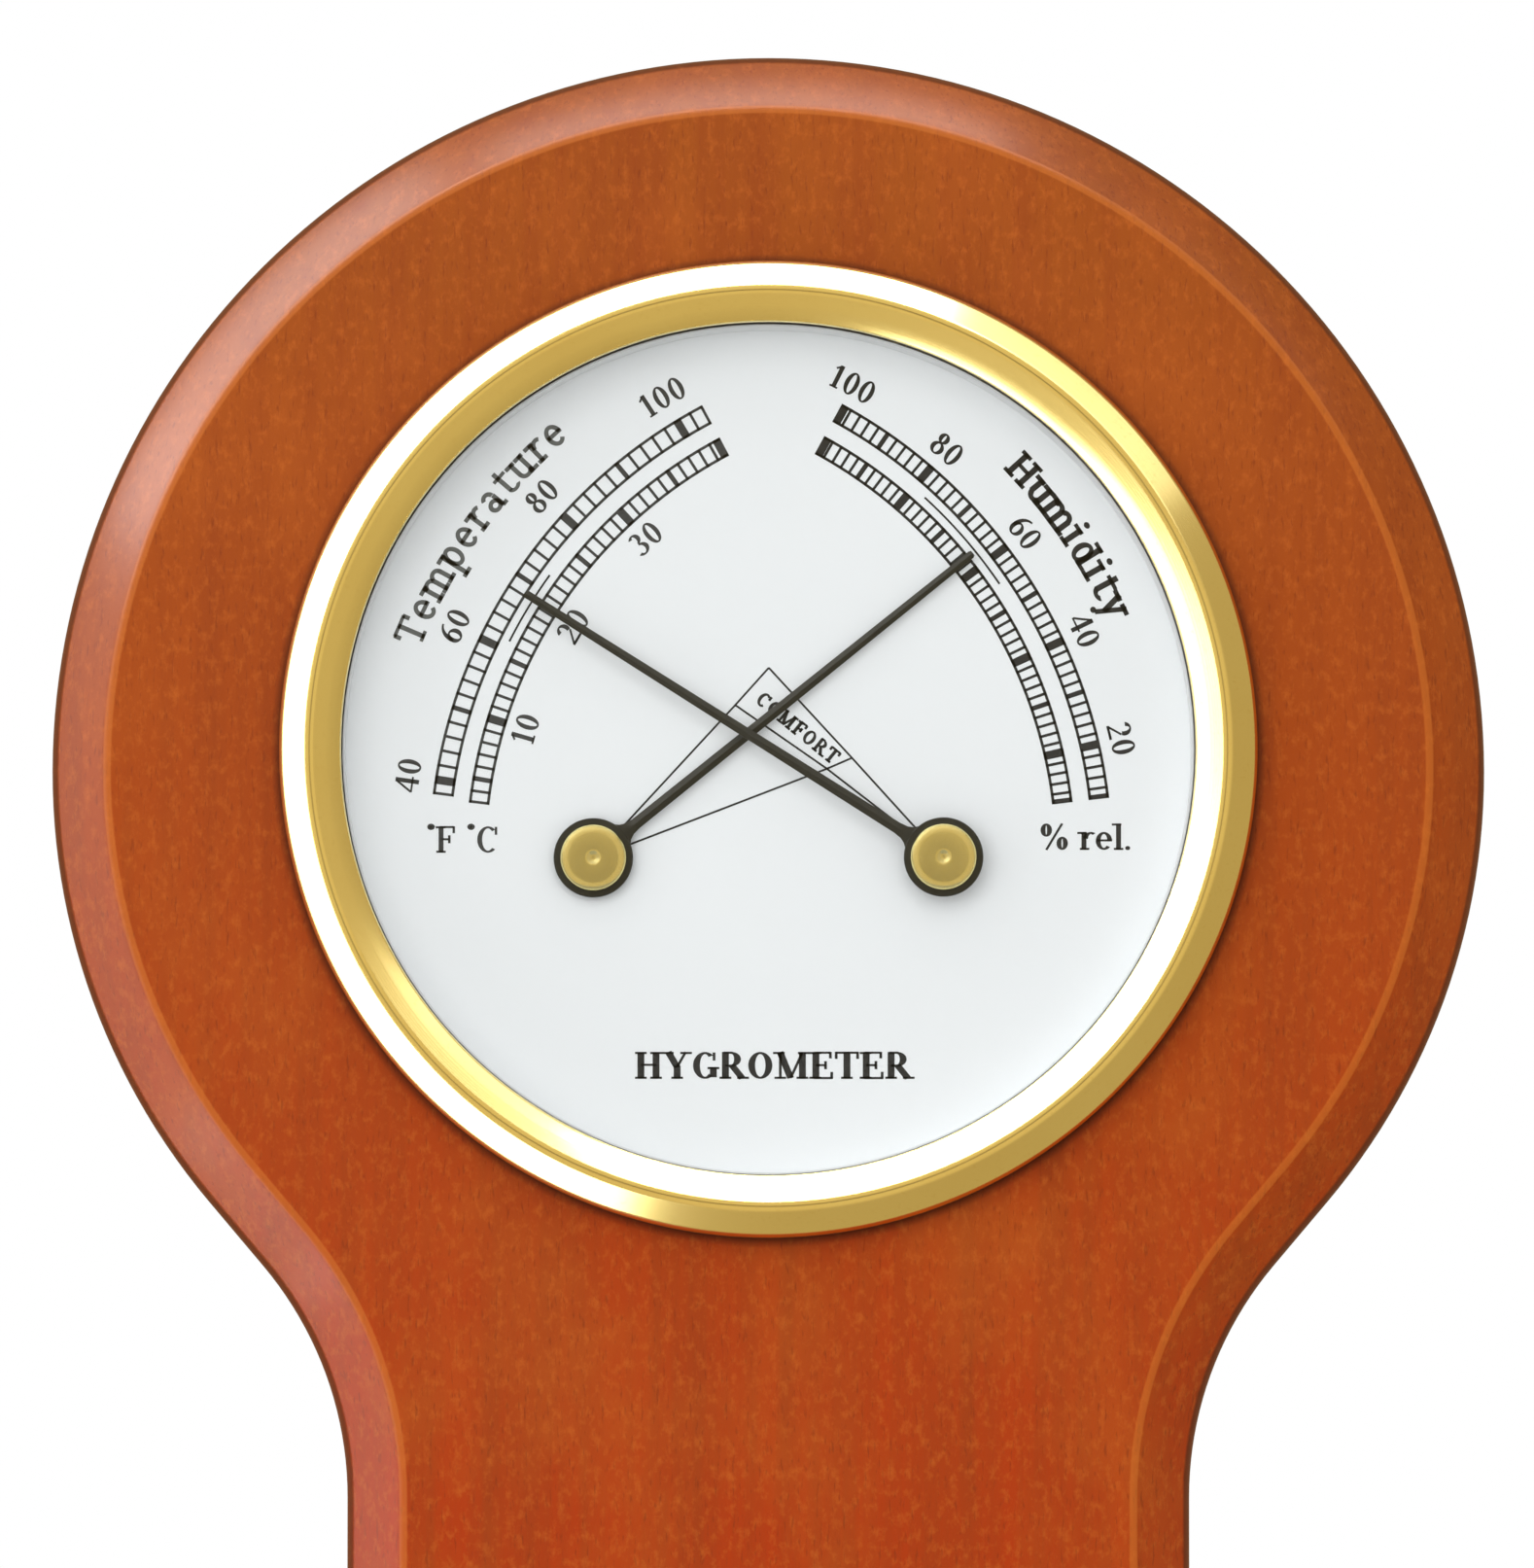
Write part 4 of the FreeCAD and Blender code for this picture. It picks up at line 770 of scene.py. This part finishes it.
def sweep(bm, radii, start, end, steps):
    """Spins a short edge between two radii round the drawing's origin, in degrees from the right."""
    first = [bm.verts.new((r, 0, 0)) for r in radii]
    bmesh.ops.transform(bm, matrix=Matrix.Rotation(math.radians(start), 4, "Z"), verts=first)
    known = set(bm.verts) - set(first)
    bmesh.ops.spin(bm, geom=first + [bm.edges.new(first)], cent=(0, 0, 0), axis=(0, 0, 1),
                   angle=math.radians(end - start), steps=steps, use_merge=abs(end - start) == 360,
                   use_duplicate=False)
    return [v for v in bm.verts if v not in known]


def draw_bowl(bm, x, y, across, up, start, end, thick, thin):
    """Part of an oval stroke: thick at its sides and thin at its top and bottom."""
    made = sweep(bm, (0.5, 1.0), start, end, max(3, round(abs(end - start) / 12)))
    for vert in made:
        size = (across, up) if vert.co.length > 0.75 else (2 * (across - thick), 2 * (up - thin))
        vert.co = Vector((x + vert.co.x * size[0], y + vert.co.y * size[1], 0))
    return made


def draw_ring_part(bm, inner, outer, start, end):
    return sweep(bm, (inner, outer), start, end, max(1, round(abs(end - start) / 1.2)))


def print_ink(bm, name, material):
    thicken(bm, INK_FILM)
    return finish(bm, name, "plaque", material, weld=False)


BLACK_INK, GREY_INK, PALE_INK = [
    make_painted(name, colour, 0.6, strength=0.05, specular_ior_level=0.3) for name, colour in (
        ("black_ink", (0.008, 0.008, 0.008)), ("grey_ink", (0.035, 0.036, 0.036)),
        ("pale_grey_ink", (0.115, 0.120, 0.115)))]

# %% [markdown]
# ### Scales
# Each quantity has two narrow strips round its own hand's arbor, ruled across like ladders. A tick
# is a short piece of ring, heavier at the tens and twenties.

# %% Scales
RAIL, FINE, MIDDLE, BOLD = 0.30, 0.30, 0.52, 0.90      # widths of lines, in millimetres
STRIPS = {
    # side, inner and outer radius, (first, last, step) values, angle at zero, degrees per unit,
    # middle and bold ticks every so many units, end tick widths
    "celsius": ("temperature", 48.5, 50.4, (3, 40, 1), 162.81 + 14.963, -1.4963, 5, 10, FINE, BOLD),
    "fahrenheit": ("temperature", 52.35, 54.3, (38, 104, 2), 171.15 + 33.248, -0.8312, 10, 20, FINE, FINE),
    "humidity_inner": ("humidity", 49.0, 50.9, (10, 100, 2), 12.79 - 12.15, 0.6075, 10, 20, MIDDLE, BOLD),
    "humidity_outer": ("humidity", 52.9, 54.8, (10, 100, 2), 12.79 - 12.15, 0.6075, 10, 20, MIDDLE, BOLD),
}


def scale_angle(strip, value):
    return STRIPS[strip][4] + STRIPS[strip][5] * value


def draw_strip(bm, strip):
    side, inner, outer, (first, last, step), _, per_unit, medium, heavy, *end_widths = STRIPS[strip]
    made = []
    for rail in (inner, outer):
        made += draw_ring_part(bm, rail - RAIL / 2, rail + RAIL / 2, scale_angle(strip, first),
                               scale_angle(strip, last))
    for value in range(first, last + 1, step):
        width = BOLD if value % heavy == 0 else MIDDLE if value % medium == 0 else FINE
        width = dict(zip((first, last), end_widths)).get(value, width)
        half = math.degrees(width / 2 / outer)
        angle = scale_angle(strip, value)
        lean = half * math.copysign(1, per_unit) * ((value == first) - (value == last))
        made += draw_ring_part(bm, inner - RAIL / 2, outer + RAIL / 2, angle + lean - half,
                               angle + lean + half)
    place_ink(bm, made, 0, *pivot(side))


for side, ink in zip(SIDES, (GREY_INK, BLACK_INK)):
    scale = bmesh.new()
    for strip, facts in STRIPS.items():
        if facts[0] == side:
            draw_strip(scale, strip)
    print_ink(scale, f"{side}_scale", ink)

# %% [markdown]
# ### Lettering
# Numerals and words are a plain roman with thick stems and thin bars, and a slab letter of even
# strokes. Each letter is a short list of strokes in units of the capitals' height: s is a stem, h a
# bar, v a short thin upright, d and n a thick and a thin slanting stroke, o a bowl, f feet, b a dot.

# %% Letters
LETTERS = {          # width, strokes
    "0": (0.60, "o .3 .5 .25 .5 0 360"),
    "1": (0.52, "s .28 0 1, n .28 .97 .1 .8, f .28 0"),
    "2": (0.60, "o .28 .71 .24 .29 -35 165, n .45 .53 .08 .05, h .05 .55 .06, h .05 .55 .03"),
    "3": (0.60, "o .27 .76 .22 .24 -90 150, o .26 .27 .27 .27 -150 90"),
    "4": (0.62, "s .42 0 1, h .03 .58 .28, n .4 .98 .05 .3"),
    "6": (0.60, "o .3 .31 .25 .31 0 360, o .52 .36 .47 .64 92 185"),
    "8": (0.60, "o .3 .76 .2 .24 0 360, o .3 .28 .25 .28 0 360"),
    "C": (0.76, "o .41 .5 .34 .5 48 312, v .66 .68 .98"),
    "E": (0.72, "s .19 0 1, h .14 .62 .97, h .19 .48 .51, h .14 .66 .03, v .61 .76 1, v .65 0 .26, "
                "v .47 .36 .66, f .17 0 .17 1"),
    "F": (0.66, "s .19 0 1, h .14 .6 .97, h .19 .46 .51, v .59 .74 1, v .45 .36 .66, f .19 0 .17 1"),
    "G": (0.82, "o .42 .5 .35 .5 48 312, v .68 .68 .98, s .66 .06 .44, f .66 .44"),
    "H": (0.84, "s .2 0 1, s .64 0 1, h .2 .64 .52, f .2 0 .2 1 .64 0 .64 1"),
    "M": (1.02, "v .18 0 1, s .82 0 1, d .17 1 .48 .03, n .48 .03 .82 .98, f .18 0 .82 0 .14 1 .86 1"),
    "O": (0.80, "o .4 .5 .35 .5 0 360"),
    "R": (0.80, "s .19 0 1, h .14 .4 .97, h .19 .4 .49, o .37 .73 .27 .27 -92 92, d .38 .5 .68 .02, "
                "f .19 0 .7 0"),
    "T": (0.74, "s .37 0 1, h .04 .7 .97, v .06 .74 1, v .68 .74 1, f .37 0"),
    "Y": (0.80, "s .41 0 .48, d .41 .44 .15 1, n .41 .44 .66 1, f .41 0 .14 1 .67 1"),
    "a": (0.62, "s .44 .02 .46, o .27 .47 .22 .21 0 160, o .27 .2 .22 .2 0 360, h .42 .6 .04"),
    "d": (0.70, "s .5 0 1.04, o .31 .4 .26 .4 0 360, f .44 1.04 .57 0"),
    "e": (0.62, "o .31 .34 .26 .34 0 318, h .08 .56 .36"),
    "i": (0.46, "s .23 0 .8, f .23 0 .17 .8, b .21 1.04 .1"),
    "l": (0.40, "s .2 0 1, f .2 0 .14 1"),
    "m": (0.96, "s .15 0 .66, s .48 0 .5, s .81 0 .5, o .32 .48 .22 .2 0 170, o .65 .48 .22 .2 0 170, "
                "f .15 0 .48 0 .81 0 .1 .68"),
    "p": (0.68, "s .17 -.3 .66, o .37 .34 .25 .34 0 360, f .19 -.3 .1 .68"),
    "r": (0.58, "s .2 0 .66, o .42 .4 .25 .28 55 175, f .22 0 .14 .68"),
    "t": (0.54, "s .24 .14 1, h .06 .5 .76, o .39 .19 .22 .19 180 345"),
    "u": (0.70, "s .17 .2 .68, s .52 .02 .68, o .35 .22 .24 .22 180 350, f .12 .68 .47 .68 .58 0"),
    "y": (0.68, "d .14 .68 .36 .04, n .57 .68 .26 -.2, f .13 .68 .56 .68, b .19 -.22 .09"),
    "%": (0.98, "o .24 .75 .18 .25 0 360, o .74 .25 .18 .25 0 360, n .74 1 .24 0"),
    "o": (0.28, "o .13 .98 .12 .12 0 360"),        # the raised ring of a degree
    ".": (0.26, "b .12 .07 .08"),
    " ": (0.36, ""),
}
# thick and thin strokes, a foot, how wide the letters are and how high the small ones
Style = namedtuple("Style", "thick thin foot wide small")
ROMAN = Style(0.155, 0.078, 0.30, 1.20, 1.0)
BOLD_ROMAN = Style(0.20, 0.080, 0.34, 1.28, 1.0)
SLAB = Style(0.135, 0.125, 0.32, 1.22, 1.18)
BOLD_SLAB = Style(0.165, 0.140, 0.34, 1.26, 1.18)
FINE_SLAB = Style(0.20, 0.15, 0.36, 1.12, 1.0)
SMALL_LETTERS = "aempruy"


def draw_letter(bm, letter, style):
    """Draws one letter with its left side on x = 0 and its foot on y = 0, capitals 1 high."""
    thick, thin, foot = style.thick, style.thin, style.foot
    made = []
    for stroke in filter(None, LETTERS[letter][1].split(", ")):
        kind, *sizes = stroke.split()
        sizes = [float(size) for size in sizes]
        if kind in "sv":
            x, low, high = sizes
            sizes = x, low, x, high
        elif kind == "h":
            left, right, y = sizes
            sizes = left, y, right, y
        if kind in "svhdn":
            made += draw_bar(bm, *sizes, thick if kind in "sd" else thin)
        elif kind == "o":
            made += draw_bowl(bm, *sizes, thick, thin)
        elif kind == "f":
            for x, y in zip(sizes[::2], sizes[1::2]):
                up = thin / 2 if y <= 0 else -thin / 2
                made += draw_bar(bm, x - foot / 2, y + up, x + foot / 2, y + up, thin)
        elif kind == "b":
            x, y, size = sizes
            dot = Matrix.Translation((x, y, 0))
            made += bmesh.ops.create_circle(bm, cap_ends=True, radius=size, segments=12, matrix=dot)["verts"]
    bmesh.ops.scale(bm, vec=(style.wide, style.small if letter in SMALL_LETTERS else 1.0, 1), verts=made)
    return made


def write(bm, text, height, style, x, z, turn=0.0, spacing=1.0):
    """Sets a straight line of text with its middle on (x, z), turned anticlockwise."""
    widths = [LETTERS[letter][0] * style.wide for letter in text]
    start = -sum(widths) * spacing / 2
    for letter, width in zip(text, widths):
        made = draw_letter(bm, letter, style)
        shift = start + width * (spacing - 1) / 2
        sized = Matrix.Scale(height, 4) @ Matrix.Translation((shift, -0.5, 0))
        bmesh.ops.transform(bm, matrix=sized, verts=made)
        place_ink(bm, made, turn, x, z)
        start += width * spacing


def write_round(bm, text, height, style, side, reach, angle, spacing=1.0):
    """Sets text along a circle round an arbor, its letters' heads outwards, its middle at angle."""
    advances = [LETTERS[letter][0] * style.wide * spacing * height for letter in text]
    along = -sum(advances) / 2
    px, pz = pivot(side)
    for letter, advance in zip(text, advances):
        here_angle = angle - math.degrees((along + advance / 2) / reach)
        direction = math.radians(here_angle)
        write(bm, letter, height, style, px + reach * math.cos(direction), pz + reach * math.sin(direction),
              here_angle - 90)
        along += advance


# %% [markdown]
# ### Numbers and words
# Numbers stand outside the outer strips, and the Celsius ones inside. The unit signs stand level
# below the strips, and the instrument's kind stands low on the dial.

# %% Numbers and words
NUMERAL, UNIT, NAME, TITLE = 2.5, 2.8, 3.05, 2.85         # heights of capitals, in millimetres
OUTSIDE, CELSIUS_REACH, NAME_REACH = 57.3, 46.3, 61.2      # from the hand's arbor

temperature_print, temperature_name, humidity_print = bmesh.new(), bmesh.new(), bmesh.new()
for bm, strip, reach, spacing, values in ((temperature_print, "fahrenheit", OUTSIDE, 1.02, (40, 60, 80, 100)),
                                          (temperature_print, "celsius", CELSIUS_REACH, 1.0, (10, 20, 30)),
                                          (humidity_print, "humidity_outer", OUTSIDE, 1.0,
                                           (20, 40, 60, 80, 100))):
    for value in values:
        write_round(bm, str(value), NUMERAL, ROMAN, STRIPS[strip][0], reach, scale_angle(strip, value),
                    spacing)
write_round(temperature_name, "Temperature", NAME, SLAB, "temperature", NAME_REACH, 144.8, 1.06)
write_round(humidity_print, "Humidity", NAME, BOLD_SLAB, "humidity", NAME_REACH + 0.2, 34.2, 0.99)
write(temperature_print, "oF", UNIT, ROMAN, -34.6, -9.3, spacing=0.95)
write(temperature_print, "oC", UNIT, ROMAN, -30.2, -9.3, spacing=0.95)
write(humidity_print, "% rel.", UNIT, ROMAN, 33.6, -9.0, spacing=0.90)
write(humidity_print, "HYGROMETER", TITLE, BOLD_ROMAN, 0.5, -33.2, spacing=1.0)
print_ink(temperature_print, "temperature_lettering", GREY_INK)
print_ink(temperature_name, "temperature_name", PALE_INK)
print_ink(humidity_print, "humidity_lettering", BLACK_INK)

# %% [markdown]
# ### Comfort lines
# Where the hands cross inside the small four-sided field, both readings are comfortable. Thin lines
# run to it from each arbor, and a thin arc in each scale's gap marks the same range.

# %% Comfort lines
HAIR = 0.21                   # width of the lines
FIELD_WORD = 1.6              # height of the word's capitals
WORD_TILT = 8                 # how far the word leans off the field's upper edge, in degrees
COMFORT = {"top": (0.05, 8.9), "right": (8.85, -0.65), "bottom": (6.2, -1.8), "left": (-3.5, 4.95)}
lines = bmesh.new()
corners = list(COMFORT.values())
ends = list(zip(corners, corners[1:] + corners[:1]))
for side, first, second in (("humidity", "left", "top"), ("humidity", "bottom", "right"),
                            ("temperature", "right", "top"), ("temperature", "bottom", "left")):
    ends += [(pivot(side), COMFORT[first])]
for near, far in ends:
    place_ink(lines, draw_bar(lines, *near, *far, HAIR), 0, 0, 0)
for side, reach, start, stop in (("temperature", 51.35, 144.2, 153.4), ("humidity", 51.9, 34.1, 47.5)):
    place_ink(lines, draw_ring_part(lines, reach - HAIR / 2, reach + HAIR / 2, start, stop), 0, *pivot(side))
edge = Vector(COMFORT["right"]) - Vector(COMFORT["top"])
slope = math.degrees(math.atan2(edge.y, edge.x))
write(lines, "COMFORT", FIELD_WORD, FINE_SLAB, 3.1, 2.55, slope + WORD_TILT, 1.08)
print_ink(lines, "comfort_field", BLACK_INK)

# %% [markdown]
# ## The hands
# Each hand is pressed from thin sheet: a round hub and a slender blade with a soft ridge, which
# catches the light, all in black enamel. The blade is one section that is extruded from station to
# station and narrowed on the way, and small flares join it to the hub.

# %% Hands
BLADE = 0.4
HUB, HUB_BUSH, HUB_BUSH_LENGTH = 4.2, 1.5, 0.7
ARBOR_TIP = 0.625
HAND_ANGLES = {"temperature": 147.74, "humidity": 38.8}
HAND_LENGTHS = {"temperature": 52.3, "humidity": 51.5}
BLADE_STATIONS = ((3.95, 1.35), (4.35, 0.98), (4.9, 0.72), (5.8, 0.61), (30.0, 0.52))


def make_blade(bm, length):
    """The ridged blade, drawn along X in millimetres from the arbor and the hand's back."""
    start, last_half = BLADE_STATIONS[0]
    section = [(-1, 0.0), (-1, 0.55), (0, 1.0), (1, 0.55), (1, 0.0)]
    made = [bm.verts.new((start, side * last_half, height * BLADE)) for side, height in section]
    face = bm.faces.new(made)
    for reach, half in BLADE_STATIONS[1:] + ((length - 0.25, 0.42), (length, 0.30)):
        face = bmesh.ops.extrude_discrete_faces(bm, faces=[face])["faces"][0]
        bmesh.ops.scale(bm, vec=(1, half / last_half, 1), verts=face.verts[:])
        bmesh.ops.translate(bm, vec=(reach - face.verts[0].co.x, 0, 0), verts=face.verts[:])
        made += face.verts[:]
        last_half = half
    return made


def make_hand(side):
    back = level(f"{side}_hand_cap", "back") - BLADE
    bm = turned([(ARBOR_TIP, back - HUB_BUSH_LENGTH, 0), (HUB_BUSH, back - HUB_BUSH_LENGTH, 0.1),
                 (HUB_BUSH, back, 0), (HUB, back, 0.10), (HUB, back + BLADE, 0.14),
                 (ARBOR_TIP, back + BLADE, 0)], pivot(side), steps=72, segments=3)
    drawn = make_blade(bm, HAND_LENGTHS[side])
    bmesh.ops.transform(bm, matrix=onto(*pivot(side), back, HAND_ANGLES[side]), verts=drawn)
    return bm


HAND_BLACK = make_painted("black_enamel", (0.010, 0.010, 0.006), 0.38, grain_size=0.15, strength=0.08,
                          specular_ior_level=0.35)
for side in SIDES:
    finish(make_hand(side), f"{side}_pointer_hand", f"{side}_pointer", HAND_BLACK,
           stands_for=[f"{side}_hand"], crease=28)

# %% [markdown]
# ## The brass caps
# A turned cap covers each arbor's end. It has a rounded edge, a nearly flat top with the fine
# circles of the lathe and a small dimple in the middle.

# %% Caps
CAP = HUB - 0.7
DIMPLE, DIMPLE_DEPTH = 0.6, 0.3
TIP_ROOM = 0.45               # how far the arbor's tip reaches into the cap
for side in SIDES:
    back, front = level(f"{side}_hand_cap", "back"), level(f"{side}_hand_cap", "front")
    profile = [(ARBOR_TIP, back, 0), (CAP, back, 0.05), (CAP, front - 0.32, 0.28),
               (CAP - 0.55, front - 0.05, 0.35), (DIMPLE + 0.15, front - 0.02, 0.12),
               (DIMPLE * 0.45, front - DIMPLE_DEPTH, 0.1), (0, front - DIMPLE_DEPTH, 0),
               (0, back + TIP_ROOM, 0), (ARBOR_TIP, back + TIP_ROOM, 0)]
    cap_brass = make_spun_brass(f"{side}_cap_brass", (0.74, 0.66, 0.30), 9.0, pivot(side), (0.18, 0.30), 0.2)
    finish(turned(profile, pivot(side), steps=96, closed=False), f"{side}_cap", f"{side}_pointer", cap_brass,
           stands_for=[f"{side}_hand_cap"], crease=60)

# %% [markdown]
# ## The back and the works
# The case, the hanger and the works are small metal parts whose shapes the design already holds.
# Each is copied, welded into one mesh and has its edges broken by a small bevel, as a real part's
# edges are, so that they catch the light. The design's own mesh stays as it is.

# %% Finishes for metal, rubber and felt
def make_plated(name, colour, roughness, patch, scratches):
    """Plated or plain metal sheet: cloudy gloss, hairline scratches and a slightly uneven tone."""
    tree, shader, material = new_material(name, colour, roughness, metallic=1.0)
    place = here(tree)
    mask = smudges(tree, place, patch, scratches)
    dull = tuple(c * 0.80 for c in colour)
    tree.links.new(mix(tree, mask, colour, dull), shader.inputs["Base Color"])
    tree.links.new(spread(tree, mask, roughness * 0.8, roughness * 1.5), shader.inputs["Roughness"])
    bump(tree, shader, grain(tree, place, 0.3), 0.10, 0.01)
    return material


def make_felt(name, colour):
    tree, shader, material = new_material(name, colour, 0.95, sheen_weight=0.6, sheen_roughness=0.6)
    place = here(tree)
    fibres = grain(tree, place, 0.22)
    pale = tuple(min(1.0, c * 2.1) for c in colour)
    tree.links.new(mix(tree, fibres, colour, pale), shader.inputs["Base Color"])
    bump(tree, shader, maths(tree, "ADD", fibres, grain(tree, place, 1.3)), 0.9, 0.25)
    return material


PLATED = {     # slot: (finish, colour, roughness, size of its patches in millimetres, scratches)
    "hanger_steel": ("zinc_plated_hanger", (0.62, 0.61, 0.58), 0.30, 8.0, 0.5),
    "screw_steel": ("zinc_plated_screws", (0.60, 0.58, 0.53), 0.26, 2.0, 0.5),
    "case_steel": ("zinc_plated_case", (0.60, 0.60, 0.58), 0.34, 16.0, 0.35),
    "movement_brass": ("plain_brass", (0.78, 0.58, 0.25), 0.30, 4.0, 0.5),
    "arbor_steel": ("polished_steel", (0.64, 0.64, 0.64), 0.16, 3.0, 0.2),
    "washer_steel": ("plain_steel", (0.50, 0.50, 0.50), 0.40, 3.0, 0.5),
    "regulator_steel": ("plated_lever", (0.60, 0.57, 0.48), 0.32, 4.0, 0.5),
    "bimetal_strip": ("bimetal", (0.60, 0.50, 0.36), 0.36, 3.0, 0.5),
    "moisture_strip": ("coated_brass_strip", (0.72, 0.60, 0.38), 0.48, 3.0, 0.5),
}
FINISHES = {slot: make_plated(*facts) for slot, facts in PLATED.items()}
for slot, colour, roughness in (("band_rubber", (0.018,) * 3, 0.75), ("gasket_rubber", (0.020,) * 3, 0.70)):
    FINISHES[slot] = make_painted(slot, colour, roughness, strength=0.3)
FINISHES["bumper_felt"] = make_felt("pressed_felt", (0.055, 0.036, 0.025))
print(len(FINISHES), "finishes")

# %% Parts from the design
BROKEN_EDGE = {"hanger_plate": 0.18, "hanger_screws": 0.12, "case_shell": 0.20, "mounting_band": 0.15,
               "wall_bumpers": 0.45}
node_slot = {part["node"]: part["material_slot"] for part in frame["record"]["subparts"]}
node_body = {name: body for body, names in frame["record"]["behaviour"]["bodies"].items() for name in names}


def broken_edges(name, width):
    """A welded copy of a design solid with a small bevel on its edges."""
    bm = bmesh.new()
    bm.from_mesh(frame["nodes"][name].data)
    bmesh.ops.remove_doubles(bm, verts=bm.verts, dist=1e-6)
    bmesh.ops.dissolve_limit(bm, angle_limit=math.radians(0.5), verts=bm.verts, edges=bm.edges)
    piece = finish(bm, f"{name}_part", node_body[name], FINISHES[node_slot[name]],
                   stands_for=[name], weld=False)
    edge = piece.modifiers.new("broken edge", "BEVEL")
    edge.width, edge.segments = width * MM, 2
    edge.limit_method, edge.angle_limit = "ANGLE", math.radians(40)
    piece.modifiers.move(1, 0)
    return piece


for name in sorted(set(node_slot) - {n for o in bpy.data.objects for n in o.get("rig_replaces", [])}):
    broken_edges(name, BROKEN_EDGE.get(name, 0.06))

# %% [markdown]
# ## Floor
# The object hangs on a wall, so nothing touches it. A plain pale floor lies well below it.

# %% Floor
FLOOR_DROP, FLOOR_RADIUS = 900.0, 1400.0
floor_mesh = bmesh.new()
bmesh.ops.create_circle(floor_mesh, cap_ends=True, radius=FLOOR_RADIUS * MM, segments=96,
                        matrix=Matrix.Translation((DIAL_AXIS.x, 0, cad_low.z - FLOOR_DROP * MM)))
floor_data = bpy.data.meshes.new("floor")
floor_mesh.to_mesh(floor_data)
floor_mesh.free()
floor = add_object("floor", floor_data)
floor.visible_glossy = False
floor_data.materials.append(make_painted("pale_floor", (0.50, 0.50, 0.495), 0.8, grain_size=3.0))
